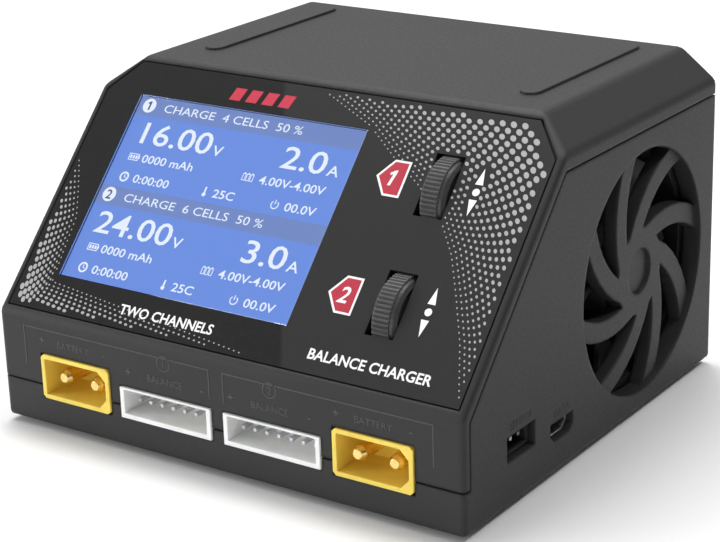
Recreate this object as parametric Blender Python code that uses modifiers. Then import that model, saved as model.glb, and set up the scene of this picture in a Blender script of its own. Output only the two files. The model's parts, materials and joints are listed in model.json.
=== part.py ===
"""Balance battery charger: a two-channel bench charger for model batteries.

A console-shaped case with a sloping front. The slope carries a colour screen and two push-and-turn
wheels, the front face two battery sockets and two balance sockets, and the right side a fan behind a
swirl grille, a sensor socket and a small data socket. Mains and low-voltage inlets are at the back.

Axes: X to the right, Y to the back, Z up. The origin is on the table, under the middle of the case.
"""

import math

import bmesh
import bpy
from mathutils import Matrix, Vector

MM = 0.001
DEGREE = math.pi / 180

# ---------------------------------------------------------------- driving dimensions

WIDTH = 98 * MM
DEPTH = 88 * MM
HEIGHT = 60 * MM                  # of the case, without its feet
FRONT_HEIGHT = 20.5 * MM          # of the upright front face
SLOPE_RUN = 37 * MM               # from the front face to the start of the flat top
CHAMFER_WIDTH = 7 * MM
CHAMFER_DROP = 5.4 * MM
WALL = 2 * MM
EDGE_RADIUS = 0.8 * MM
FOOT_HEIGHT = 1 * MM              # of a foot below the case
GAP = 0.3 * MM                    # between pieces that rest on or beside each other
CORNER_GAP = 0.1 * MM             # between a small turning piece and its bearing
CLEAR = 5 * MM                    # how far a cutter runs past what it cuts

# Parting of the two case halves
SEAM_HEIGHT = 7.65 * MM           # of the lower half's front lip above the underside
SEAM_INSET = 2.2 * MM             # of the side panels from the slope
SEAM_FRONT = 1.9 * MM             # of the side panels from the front face
SEAM_TOP = 51.8 * MM              # upper edge of the side panels above the underside
SIDE_WALL = 1.8 * MM

# Front sockets, measured from the middle of the case and from its underside
BATTERY_X = 31.7 * MM
BATTERY_Z = 9.6 * MM
BATTERY_SIZE = (15.7 * MM, 8.4 * MM)
BATTERY_WALL = 0.8 * MM
BATTERY_CUT = 1.7 * MM            # of the cavity's two corners at the plus end
BATTERY_DEPTH = 16 * MM
BATTERY_CAVITY = 8.5 * MM
BATTERY_PIN_PITCH = 7.2 * MM
BATTERY_PIN_RADIUS = 1.4 * MM
BALANCE_X = 11.35 * MM
BALANCE_Z = 8.5 * MM
BALANCE_SIZE = (19.9 * MM, 5.75 * MM)
BALANCE_PINS = 7
BALANCE_PITCH = 2.5 * MM
SOCKET_PROUD = 0.3 * MM           # of the socket mouths in front of the case

# Slope: U is the distance up the slope from its lower edge
SCREEN_X = -14.35 * MM
SCREEN_U = 27.4 * MM
SCREEN_SIZE = (50.4 * MM, 37.4 * MM)
LCD_SPAN = (-40.5 * MM, 18 * MM)    # of the display module across the slope
LCD_HEIGHT = 42.7 * MM
OVERLAY_MARGIN = 1.6 * MM
OVERLAY_CORNER = (5.2 * MM, 6.6 * MM)
OVERLAY_THICKNESS = 0.4 * MM
WHEEL_X = 28.6 * MM
WHEEL_U = (38.0 * MM, 16.1 * MM)  # wheel 1, wheel 2
WHEEL_RADIUS = 7.6 * MM
WHEEL_WIDTH = 5 * MM
WHEEL_RISE = 2.2 * MM             # of the wheel above the slope
WHEEL_RIBS = 60
RIB_HEIGHT = 0.28 * MM
SHOULDER = (0.9 * MM, 1.1 * MM)     # of a wheel's smooth end: its width and how far it tapers
SLOT_SIZE = (5.6 * MM, 11.8 * MM)
AXLE_RADIUS = 1 * MM
YOKE_TOP = 1.5 * MM               # of the yoke above the wheel's axis
YOKE_BOTTOM = -1.5 * MM
TAB_THICKNESS = 0.7 * MM
SWITCH_X = 8.4 * MM               # of the push switch beside the wheel's middle
SWITCH_SIZE = 4.6 * MM
SWITCH_RADIUS = 0.9 * MM          # of its plunger

# Right side
FAN_Y = 16.8 * MM
FAN_Z = 25.9 * MM
FAN_SIZE = 45 * MM
FAN_DEPTH = 10 * MM
GRILLE_RADIUS = 22.45 * MM
GRILLE_RECESS = 1 * MM            # of the vanes' outer faces inside the wall's
GRILLE_DEPTH = 3.6 * MM           # of the vanes' inner faces behind the wall's outer face
GRILLE_RIM = 23.4 * MM            # radius of the thickening behind the wall that the vanes stand in
VANES = 8
VANE_ANGLE = 151 * DEGREE         # of a vane's outer end, from +Y towards +Z
VANE_ARC = 24.66 * MM             # radius of a vane's leading edge
VANE_WIDTH = 3.7 * MM
VANE_ARC_CENTRE = 18.67 * MM      # of the vane's arc from the fan's axis
HUB_RADIUS = 8 * MM
HUB_RECESS = (4.2 * MM, 0.7 * MM)
ROTOR_RADIUS = 20.3 * MM
ROTOR_BLADES = 7
SENSOR_Y = -26.5 * MM
SENSOR_Z = 10.15 * MM
SENSOR_SIZE = (9 * MM, 4.5 * MM)
DATA_Y = -13.05 * MM
DATA_Z = 7.5 * MM
DATA_SIZE = (7.7 * MM, 3.4 * MM)

# Low rails on the top, rounded at both ends
RAIL_X = 34 * MM
RAIL_WIDTH = 3.8 * MM
RAIL_HEIGHT = 0.4 * MM
RAIL_SPAN = (2.9 * MM, 38.6 * MM)   # of the middles of a rail's two ends

# Back
MAINS_X = -13 * MM
MAINS_Z = 39 * MM
MAINS_SIZE = (24 * MM, 14 * MM)
MAINS_PIN_PITCH = 8.6 * MM
SUPPLY_X = 14 * MM
SUPPLY_Z = 14 * MM
PANEL_THICKNESS = 2 * MM
PANEL_RECESS = 0.8 * MM           # of the panel's outer face inside the case's back edge

# Fastenings and boards
TOWERS = [(-43.9 * MM, -37.6 * MM), (43.9 * MM, -37.6 * MM), (-31 * MM, 37 * MM), (31 * MM, 37 * MM)]
TOWER_RADIUS = 3.4 * MM
TOWER_TOP = 11.7 * MM
BOSS_RADIUS = 2.9 * MM
SCREW_RADIUS = 1.1 * MM
SCREW_HEAD_RADIUS = 2.2 * MM
FEET = [(-40 * MM, -27 * MM), (40 * MM, -27 * MM), (-40 * MM, 32 * MM), (40 * MM, 32 * MM)]
FOOT_RADIUS = 4 * MM
FOOT_RECESS = 0.8 * MM
BOARD_THICKNESS = 1.6 * MM
MAIN_BOARD_Z = 4.4 * MM
BOARD_FACE = -7.6 * MM            # of the display board, behind the slope
BOARD_BACK = BOARD_FACE - BOARD_THICKNESS
POWER_BOARD_Z = 29 * MM
PILLARS = [(-40 * MM, -3 * MM), (-40 * MM, 24 * MM), (30 * MM, -3 * MM), (30 * MM, 24 * MM)]
PILLAR_RADIUS = 2.2 * MM

# ---------------------------------------------------------------- frames of the case's faces

FRONT = -DEPTH / 2
BACK = DEPTH / 2
UNDERSIDE = FOOT_HEIGHT
TOP = UNDERSIDE + HEIGHT
FLOOR = UNDERSIDE + WALL
SLOPE_ANGLE = math.atan2(HEIGHT - FRONT_HEIGHT, SLOPE_RUN)
SLOPE_LENGTH = math.hypot(HEIGHT - FRONT_HEIGHT, SLOPE_RUN)


def face_frame(origin, tilt, turn=0):
    """A frame whose x runs across a face, y up it and z out of it."""
    return Matrix.Translation(origin) @ Matrix.Rotation(turn, 4, "Z") @ Matrix.Rotation(tilt, 4, "X")


UPRIGHT = 90 * DEGREE
FLAT = Matrix.Identity(4)
SLOPE = face_frame((0, FRONT, UNDERSIDE + FRONT_HEIGHT), SLOPE_ANGLE)
FRONT_FACE = face_frame((0, FRONT, UNDERSIDE), UPRIGHT)
BACK_FACE = face_frame((0, BACK, UNDERSIDE), UPRIGHT, 180 * DEGREE)
RIGHT_FACE = face_frame((WIDTH / 2, 0, UNDERSIDE), UPRIGHT, 90 * DEGREE)
LEFT_FACE = face_frame((-WIDTH / 2, 0, UNDERSIDE), UPRIGHT, -90 * DEGREE)

# ---------------------------------------------------------------- materials

MATERIALS = {
    # name: colour, roughness, metallic
    "case_plastic": ((0.055, 0.055, 0.056), 0.55, 0),
    "panel_plastic": ((0.045, 0.045, 0.046), 0.6, 0),
    "overlay_sheet": ((0.03, 0.03, 0.031), 0.35, 0),
    "clear_window": ((0.75, 0.82, 0.95), 0.05, 0),
    "lcd_glass": ((0.14, 0.33, 0.93), 0.2, 0),
    "circuit_board": ((0.01, 0.16, 0.06), 0.45, 0),
    "wheel_rubber": ((0.04, 0.04, 0.042), 0.6, 0),
    "steel": ((0.6, 0.6, 0.62), 0.3, 1),
    "dark_plastic": ((0.02, 0.02, 0.02), 0.5, 0),
    "socket_yellow": ((0.72, 0.48, 0.05), 0.4, 0),
    "gold_pin": ((0.85, 0.62, 0.22), 0.25, 1),
    "socket_white": ((0.85, 0.85, 0.83), 0.4, 0),
    "copper": ((0.72, 0.33, 0.14), 0.35, 1),
    "aluminium": ((0.7, 0.71, 0.73), 0.35, 1),
    "ferrite": ((0.1, 0.095, 0.09), 0.7, 0),
    "can_sleeve": ((0.03, 0.05, 0.16), 0.4, 0),
    "foot_rubber": ((0.02, 0.02, 0.02), 0.85, 0),
    "ribbon": ((0.5, 0.24, 0.03), 0.5, 0),
}


def make_material(name):
    colour, roughness, metallic = MATERIALS[name]
    material = bpy.data.materials.new(name)
    material.use_nodes = True
    shader = material.node_tree.nodes["Principled BSDF"]
    shader.inputs["Base Color"].default_value = (*colour, 1)
    shader.inputs["Roughness"].default_value = roughness
    shader.inputs["Metallic"].default_value = metallic
    return material


# ---------------------------------------------------------------- shapes

def box(bm, low, high):
    low, high = Vector(low), Vector(high)
    size = Matrix.Diagonal((*(high - low), 1))
    return bmesh.ops.create_cube(bm, size=1, matrix=Matrix.Translation((low + high) / 2) @ size)


def rod(bm, centre, bottom, top, radius, segments=24, end_radius=None):
    """A round bar along z; end_radius is its radius at the top, where it tapers."""
    place = Matrix.Translation((*centre, (bottom + top) / 2))
    end = radius if end_radius is None else end_radius
    return bmesh.ops.create_cone(bm, cap_ends=True, segments=segments, radius1=radius, radius2=end,
                                 depth=top - bottom, matrix=place)


def mesh_of(name, *shapes):
    """A mesh of separate closed shapes, each a function of the bmesh that it draws in."""
    bm = bmesh.new()
    for shape in shapes:
        shape(bm)
    mesh = bpy.data.meshes.new(name)
    bm.to_mesh(mesh)
    bm.free()
    return mesh


def box_mesh(name, *corners):
    """A mesh of separate boxes, each given by its lowest and highest corners."""
    return mesh_of(name, *[lambda bm, c=c: box(bm, *c) for c in corners])


def rod_mesh(name, *rods):
    """A mesh of separate round bars, each given by the arguments of rod."""
    return mesh_of(name, *[lambda bm, r=r: rod(bm, *r) for r in rods])


def plate_mesh(name, outlines, bottom, top):
    """Flat outlines, with any holes among them, made thick from bottom to top."""
    curve = bpy.data.curves.new(name, "CURVE")
    curve.dimensions = "2D"
    curve.fill_mode = "BOTH"
    curve.extrude = (top - bottom) / 2
    for outline in outlines:
        spline = curve.splines.new("POLY")
        spline.points.add(len(outline) - 1)
        for point, (x, y) in zip(spline.points, outline):
            point.co = (x, y, 0, 1)
        spline.use_cyclic_u = True
    holder = bpy.data.objects.new(name, curve)
    bpy.context.scene.collection.objects.link(holder)
    evaluated = holder.evaluated_get(bpy.context.evaluated_depsgraph_get())
    mesh = bpy.data.meshes.new_from_object(evaluated)
    bpy.data.objects.remove(holder)
    bpy.data.curves.remove(curve)
    bm = bmesh.new()
    bm.from_mesh(mesh)
    bmesh.ops.remove_doubles(bm, verts=bm.verts, dist=1e-6)
    bmesh.ops.translate(bm, verts=bm.verts, vec=(0, 0, (bottom + top) / 2))
    bmesh.ops.recalc_face_normals(bm, faces=bm.faces)
    bm.to_mesh(mesh)
    bm.free()
    mesh.name = name
    return mesh


def rectangle(centre, size, cut=(0, 0)):
    """A rectangle's corners, anticlockwise, with its corners cut off by cut where that isn't zero."""
    x, y = centre
    w, h = size[0] / 2, size[1] / 2
    a, b = cut
    if not a:
        return [(x - w, y - h), (x + w, y - h), (x + w, y + h), (x - w, y + h)]
    return [(x - w + a, y - h), (x + w - a, y - h), (x + w, y - h + b), (x + w, y + h - b),
            (x + w - a, y + h), (x - w + a, y + h), (x - w, y + h - b), (x - w, y - h + b)]


def arc(centre, radius, start, end, steps):
    return [(centre[0] + radius * math.cos(start + (end - start) * i / steps),
             centre[1] + radius * math.sin(start + (end - start) * i / steps)) for i in range(steps + 1)]


def circle(centre, radius, segments):
    return arc(centre, radius, 0, 2 * math.pi * (segments - 1) / segments, segments - 1)


def capsule(start, end, radius, steps=6):
    """A slot's outline: round ends at start and end, which share an x or a y."""
    heading = math.atan2(end[1] - start[1], end[0] - start[0])
    return (arc(end, radius, heading - math.pi / 2, heading + math.pi / 2, steps)
            + arc(start, radius, heading + math.pi / 2, heading + 3 * math.pi / 2, steps))


# ---------------------------------------------------------------- objects

class Assembly:
    """The charger's pieces, in one collection, and the cutters, in another."""

    def __init__(self):
        self.pieces = bpy.data.collections.new("balance_battery_charger")
        self.cutters = bpy.data.collections.new("cutters")
        for collection in (self.pieces, self.cutters):
            bpy.context.scene.collection.children.link(collection)
        self.materials = {name: make_material(name) for name in MATERIALS}

    def piece(self, name, mesh, frame, material, smooth=None):
        """A named piece; smooth is the largest angle that is shaded round, in degrees."""
        mesh.materials.clear()
        mesh.materials.append(self.materials[material])
        if smooth:
            mesh.shade_smooth()
            mesh.set_sharp_from_angle(angle=smooth * DEGREE)
        part = bpy.data.objects.new(name, mesh)
        part.matrix_world = frame
        self.pieces.objects.link(part)
        return part

    def combine(self, part, mesh, frame, operation="DIFFERENCE"):
        """Cut mesh out of part, or join it to part."""
        tool = bpy.data.objects.new(f"{part.name}_tool_{len(part.modifiers)}", mesh)
        tool.matrix_world = frame
        tool.hide_render = True
        tool.display_type = "WIRE"
        self.cutters.objects.link(tool)
        step = part.modifiers.new(tool.name, "BOOLEAN")
        step.operation = operation
        step.object = tool
        step.solver = "EXACT"

    def join(self, part, mesh, frame):
        self.combine(part, mesh, frame, "UNION")


def round_edges(part, width, segments=2, weighted=False):
    """Round a piece's edges: those with a bevel weight, or every corner of 25 degrees or more."""
    step = part.modifiers.new("edges", "BEVEL")
    step.width = width
    step.segments = segments
    step.limit_method = "WEIGHT" if weighted else "ANGLE"
    step.angle_limit = 25 * DEGREE


# ---------------------------------------------------------------- case

def plane_off(bm, point, normal):
    """Cut away everything on the far side of a plane and close the cut."""
    everything = bm.verts[:] + bm.edges[:] + bm.faces[:]
    cut = bmesh.ops.bisect_plane(bm, geom=everything, plane_co=point, plane_no=normal,
                                 dist=1e-7, clear_outer=True)
    edges = [item for item in cut["geom_cut"] if isinstance(item, bmesh.types.BMEdge)]
    if edges:
        bmesh.ops.edgeloop_fill(bm, edges=edges)


def case_mesh(name, inset, front, back):
    """The case's outer form drawn in by inset, between two planes across Y."""
    bm = bmesh.new()
    box(bm, (-WIDTH / 2 + inset, front, UNDERSIDE + inset), (WIDTH / 2 - inset, back, TOP - inset))
    slope_normal = SLOPE.to_3x3() @ Vector((0, 0, 1))
    plane_off(bm, SLOPE.translation - slope_normal * inset, slope_normal)
    for side in (-1, 1):
        chamfer_normal = Vector((side * CHAMFER_DROP, 0, CHAMFER_WIDTH)).normalized()
        edge = Vector((side * WIDTH / 2, 0, TOP - CHAMFER_DROP))
        plane_off(bm, edge - chamfer_normal * inset, chamfer_normal)
    bmesh.ops.recalc_face_normals(bm, faces=bm.faces)
    weight = bm.edges.layers.float.new("bevel_weight_edge")
    for edge in bm.edges:                                # the edges round the open back stay sharp
        edge[weight] = 0.0 if min(vert.co.y for vert in edge.verts) > back - GAP else 1.0
    mesh = bpy.data.meshes.new(name)
    bm.to_mesh(mesh)
    bm.free()
    return mesh


def side_outline(gap):
    """The side panels' edge, as (y, z), moved out by gap: front, slope and top, left open below."""
    front = FRONT + SEAM_FRONT - gap
    inset = SEAM_INSET - gap
    top = UNDERSIDE + SEAM_TOP + gap
    rise = math.tan(SLOPE_ANGLE)
    start = UNDERSIDE + FRONT_HEIGHT - inset / math.cos(SLOPE_ANGLE)   # where the edge meets FRONT
    return [(front, start + (front - FRONT) * rise), (FRONT + (top - start) / rise, top)]


def side_tool(name, gap, keep_below):
    """A tool for both side walls, over or under the panels' edge."""
    corner, bend = side_outline(gap)
    far, low, high = BACK + CLEAR, UNDERSIDE - CLEAR, TOP + CLEAR
    if keep_below:
        near = FRONT - CLEAR
        seam = UNDERSIDE + SEAM_HEIGHT
        outline = [(near, seam), (corner[0], seam), corner, bend, (far, bend[1]), (far, high),
                   (near, high)]
    else:
        outline = [(corner[0], low), (far, low), (far, bend[1]), bend, corner]
    inner = WIDTH / 2 - SIDE_WALL - gap
    right = plate_mesh(name, [outline], inner, WIDTH / 2 + CLEAR)
    bm = bmesh.new()
    bm.from_mesh(right)
    copy = bmesh.ops.duplicate(bm, geom=bm.verts[:] + bm.edges[:] + bm.faces[:])["geom"]
    moved = [item for item in copy if isinstance(item, bmesh.types.BMVert)]
    bmesh.ops.translate(bm, verts=moved, vec=(0, 0, -(inner + WIDTH / 2 + CLEAR)))
    bm.to_mesh(right)
    bm.free()
    return right


ACROSS = face_frame((0, 0, 0), UPRIGHT, 90 * DEGREE)   # x along Y, y along Z, z along X


def groove_mesh(name):
    """The slot, round the inside of the case, that holds the back panel."""
    front = BACK - PANEL_RECESS - PANEL_THICKNESS - GAP
    return case_mesh(name, WALL - 1.1 * MM, front, front + PANEL_THICKNESS + 2 * GAP)


def socket_openings(name):
    """The four front openings, each a little larger than the socket in it."""
    shapes = []
    for side in (-1, 1):
        for x, z, size in ((BATTERY_X, BATTERY_Z, BATTERY_SIZE), (BALANCE_X, BALANCE_Z, BALANCE_SIZE)):
            w, h = size[0] / 2 + GAP / 2, size[1] / 2 + GAP / 2
            shapes.append(((side * x - w, z - h, -CLEAR), (side * x + w, z + h, CLEAR)))
    return box_mesh(name, *shapes)


def edge_angle(radius, edge):
    """Angle about the fan's axis, from a vane's arc centre, where its edge crosses a radius."""
    return math.acos((radius ** 2 + VANE_ARC_CENTRE ** 2 - edge ** 2) / (2 * radius * VANE_ARC_CENTRE))


def grille_mesh(name):
    """The openings between the swirl vanes, drawn about the fan's axis."""
    pitch = 2 * math.pi / VANES
    steps = 6
    radii = [HUB_RADIUS + (GRILLE_RADIUS - HUB_RADIUS) * i / steps for i in range(steps + 1)]
    lead = [edge_angle(r, VANE_ARC) for r in radii]
    trail = [edge_angle(r, VANE_ARC - VANE_WIDTH) for r in radii]
    outlines = []
    for vane in range(VANES):
        arc_centre = VANE_ANGLE - lead[-1] + vane * pitch
        near = [(r * math.cos(arc_centre - pitch + a), r * math.sin(arc_centre - pitch + a))
                for r, a in zip(radii, lead)]
        far = [(r * math.cos(arc_centre + a), r * math.sin(arc_centre + a))
               for r, a in zip(radii, trail)]
        rim = arc((0, 0), GRILLE_RADIUS, arc_centre - pitch + lead[-1], arc_centre + trail[-1], 6)
        outlines.append(near + rim[1:-1] + far[::-1])
    return plate_mesh(name, outlines, -CLEAR, CLEAR)


def make_bottom_case(charger):
    case = charger.piece("bottom_case", case_mesh("bottom_case", 0, FRONT, BACK), FLAT,
                         "case_plastic", 30)
    round_edges(case, EDGE_RADIUS, weighted=True)
    charger.combine(case, case_mesh("hollow", WALL, FRONT + WALL, BACK + CLEAR), FLAT)
    seam = UNDERSIDE + SEAM_HEIGHT
    inner = WIDTH / 2 - SIDE_WALL
    charger.combine(case, box_mesh("lid_space", ((-inner, FRONT - CLEAR, seam),
                                                 (inner, BACK + CLEAR, TOP + CLEAR))), FLAT)
    charger.combine(case, side_tool("side_space", 0, True), ACROSS)
    charger.combine(case, groove_mesh("groove"), FLAT)
    tower_base = UNDERSIDE + WALL / 2
    towers = [(place, tower_base, TOWER_TOP, TOWER_RADIUS) for place in TOWERS]
    towers += [(place, tower_base, POWER_BOARD_Z - GAP, PILLAR_RADIUS, 16) for place in PILLARS]
    rests = [(x, y) for x in (-30 * MM, 22 * MM) for y in (-22 * MM, 12 * MM)]
    towers += [(place, tower_base, MAIN_BOARD_Z - GAP, 2 * MM, 16) for place in rests]
    charger.join(case, rod_mesh("towers", *towers), FLAT)
    bores = [(place, -CLEAR, TOP, SCREW_RADIUS + GAP, 16) for place in TOWERS]
    charger.combine(case, rod_mesh("bores", *bores), FLAT)
    sinks = [(place, -CLEAR, UNDERSIDE + 2.6 * MM, SCREW_HEAD_RADIUS + GAP) for place in TOWERS]
    pads = [(place, -CLEAR, UNDERSIDE + FOOT_RECESS, FOOT_RADIUS + GAP) for place in FEET]
    charger.combine(case, rod_mesh("sinks", *sinks, *pads), FLAT)
    pilots = [(place, POWER_BOARD_Z - 9 * MM, TOP, 0.9 * MM, 12) for place in PILLARS[1:3]]
    charger.combine(case, rod_mesh("pilots", *pilots), FLAT)
    charger.combine(case, socket_openings("front_openings"), FRONT_FACE)
    make_right_side(charger, case)
    slots = [((y * MM - 1 * MM, 12 * MM, -CLEAR), (y * MM + 1 * MM, 40 * MM, CLEAR))
             for y in range(-38, -2, 4)]
    charger.combine(case, box_mesh("left_vents", *slots), LEFT_FACE)
    return case


def make_right_side(charger, case):
    """The fan grille and the two small openings in the right wall."""
    fan = RIGHT_FACE @ Matrix.Translation((FAN_Y, FAN_Z, 0))
    rim = rod_mesh("grille_rim", ((0, 0), -GRILLE_DEPTH, -GRILLE_RECESS, GRILLE_RIM, 64))
    charger.join(case, rim, fan)
    charger.combine(case, grille_mesh("grille_gaps"), fan)
    recess = rod_mesh("grille_recess", ((0, 0), -GRILLE_RECESS, CLEAR, GRILLE_RADIUS, 64))
    charger.combine(case, recess, fan)
    radius, depth = HUB_RECESS
    hub = rod_mesh("hub_recess", ((0, 0), -GRILLE_RECESS - depth, CLEAR, radius))
    charger.combine(case, hub, fan)
    w, h = SENSOR_SIZE[0] / 2, SENSOR_SIZE[1] / 2
    sensor = box_mesh("sensor_opening", ((SENSOR_Y - w, SENSOR_Z - h, -CLEAR),
                                         (SENSOR_Y + w, SENSOR_Z + h, CLEAR)))
    charger.combine(case, sensor, RIGHT_FACE)
    charger.combine(case, plate_mesh("data_opening", [data_outline(0)], -CLEAR, CLEAR), RIGHT_FACE)


def data_outline(grow):
    """The data socket's outline: its two lower corners are cut off."""
    w, h = DATA_SIZE[0] / 2 + grow, DATA_SIZE[1] / 2 + grow
    cut = 1.2 * MM
    return [(DATA_Y - w + cut, DATA_Z - h), (DATA_Y + w - cut, DATA_Z - h), (DATA_Y + w, DATA_Z - h + cut),
            (DATA_Y + w, DATA_Z + h), (DATA_Y - w, DATA_Z + h), (DATA_Y - w, DATA_Z - h + cut)]


def slope_outline(margin):
    """The overlay's outline on the slope, drawn in by margin: its two upper corners are cut off."""
    w = WIDTH / 2 - margin
    low, high = margin, SLOPE_LENGTH - margin
    a, b = OVERLAY_CORNER
    return [(-w, low), (w, low), (w, high - b), (w - a, high), (-w + a, high), (-w, high - b)]


def make_top_cover(charger):
    cover = charger.piece("top_cover", case_mesh("top_cover", 0, FRONT, BACK), FLAT, "case_plastic", 30)
    round_edges(cover, EDGE_RADIUS, weighted=True)
    charger.combine(cover, case_mesh("hollow", WALL, FRONT + WALL, BACK + CLEAR), FLAT)
    seam = UNDERSIDE + SEAM_HEIGHT + GAP
    far = WIDTH / 2 + CLEAR
    below = box_mesh("below_seam", ((-far, FRONT - CLEAR, -CLEAR), (far, BACK + CLEAR, seam)))
    charger.combine(cover, below, FLAT)
    charger.combine(cover, side_tool("side_panels", GAP, False), ACROSS)
    charger.combine(cover, groove_mesh("groove"), FLAT)
    bosses = []
    holes = []
    for x, y in TOWERS:
        roof = TOP - WALL / 2
        if y < 0:
            drop = (WALL + 0.4 * MM) / math.cos(SLOPE_ANGLE)
            roof = UNDERSIDE + FRONT_HEIGHT + (y + BOSS_RADIUS - FRONT) * math.tan(SLOPE_ANGLE) - drop
        bosses.append(((x, y), TOWER_TOP + GAP, roof, BOSS_RADIUS))
        holes.append(((x, y), -CLEAR, TOWER_TOP + 9 * MM, SCREW_RADIUS + GAP, 16))
    charger.join(cover, rod_mesh("bosses", *bosses), FLAT)
    charger.combine(cover, rod_mesh("screw_holes", *holes), FLAT)
    charger.combine(cover, socket_openings("front_openings"), FRONT_FACE)
    recess = plate_mesh("overlay_recess", [slope_outline(OVERLAY_MARGIN - GAP)],
                        -OVERLAY_THICKNESS - GAP, CLEAR)
    charger.combine(cover, recess, SLOPE)
    opening = (SCREEN_SIZE[0] + 1 * MM, SCREEN_SIZE[1] + 1 * MM)
    cuts = [rectangle((SCREEN_X, SCREEN_U), opening)]
    for u in WHEEL_U:
        cuts.append(rectangle((WHEEL_X, u), (SLOT_SIZE[0] + 0.6 * MM, 2 * WHEEL_RADIUS - 0.4 * MM)))
    charger.combine(cover, plate_mesh("slope_openings", cuts, -CLEAR, CLEAR), SLOPE)
    rails = [capsule((side * RAIL_X, RAIL_SPAN[0]), (side * RAIL_X, RAIL_SPAN[1]), RAIL_WIDTH / 2)
             for side in (-1, 1)]
    charger.join(cover, plate_mesh("top_rails", rails, TOP - RAIL_HEIGHT, TOP + RAIL_HEIGHT), FLAT)
    return cover


def make_back_panel(charger):
    front = BACK - PANEL_RECESS - PANEL_THICKNESS
    mesh = case_mesh("rear_panel", WALL - 0.8 * MM, front, front + PANEL_THICKNESS)
    panel = charger.piece("rear_panel", mesh, FLAT, "panel_plastic")
    w, h = MAINS_SIZE[0] / 2 - 1 * MM, MAINS_SIZE[1] / 2 - 1 * MM
    x = -MAINS_X
    openings = [((x - w, MAINS_Z - h, -CLEAR), (x + w, MAINS_Z + h, CLEAR))]
    w, h = BATTERY_SIZE[0] / 2 + GAP / 2, BATTERY_SIZE[1] / 2 + GAP / 2
    x = -SUPPLY_X
    openings.append(((x - w, SUPPLY_Z - h, -CLEAR), (x + w, SUPPLY_Z + h, CLEAR)))
    for row in range(6):
        z = (26 + 4 * row) * MM
        openings.append(((-34 * MM, z, -CLEAR), (-6 * MM, z + 1.8 * MM, CLEAR)))
    charger.combine(panel, box_mesh("panel_openings", *openings), BACK_FACE)


def make_feet_and_screws(charger):
    for number, (x, y) in enumerate(FEET, 1):
        place = Matrix.Translation((x, y, 0))
        top = UNDERSIDE + FOOT_RECESS - GAP
        mesh = rod_mesh(f"foot_{number}", ((0, 0), 0, top, FOOT_RADIUS - 0.5 * MM, 24, FOOT_RADIUS))
        charger.piece(f"foot_{number}", mesh, place, "foot_rubber", 40)
    for number, (x, y) in enumerate(TOWERS, 1):
        place = Matrix.Translation((x, y, UNDERSIDE + 0.5 * MM))
        screw = screw_piece(charger, f"case_screw_{number}", place, SCREW_HEAD_RADIUS, 1.8 * MM,
                            SCREW_RADIUS, 19 * MM)
        hexagon = rod_mesh("hexagon", ((0, 0), -CLEAR, 1 * MM, 1.15 * MM, 6))
        charger.combine(screw, hexagon, place)
    for number, (x, y) in enumerate(PILLARS[1:3], 1):
        top = POWER_BOARD_Z + BOARD_THICKNESS + GAP
        place = Matrix.Translation((x, y, top + 1.4 * MM)) @ Matrix.Rotation(math.pi, 4, "X")
        screw_piece(charger, f"board_screw_{number}", place, 2 * MM, 1.4 * MM, 0.75 * MM, 8 * MM)


def screw_piece(charger, name, place, head_radius, head_height, radius, length):
    """A screw standing on its head, at z = 0, with its shank upwards: a turned profile."""
    profile = [(0, length), (radius * 0.5, length), (radius, length - radius), (radius, head_height),
               (head_radius, head_height), (head_radius, 0.3 * MM), (head_radius - 0.4 * MM, 0), (0, 0)]
    return turned_piece(charger, name, profile, place, "steel", 16)


def turned_piece(charger, name, profile, place, material, steps):
    """A solid turned about z from a profile of (radius, z) that runs from its top to its bottom."""
    bm = bmesh.new()
    points = [bm.verts.new((radius, 0, z)) for radius, z in profile]
    for first, second in zip(points, points[1:]):
        bm.edges.new((first, second))
    mesh = bpy.data.meshes.new(name)
    bm.to_mesh(mesh)
    bm.free()
    part = charger.piece(name, mesh, place, material)
    step = part.modifiers.new("turn", "SCREW")
    step.axis = "Z"
    step.steps = steps
    step.render_steps = steps
    step.use_merge_vertices = True
    step.merge_threshold = 0.00001
    step.use_smooth_shade = True
    return part


# ---------------------------------------------------------------- slope: screen and wheels

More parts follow.
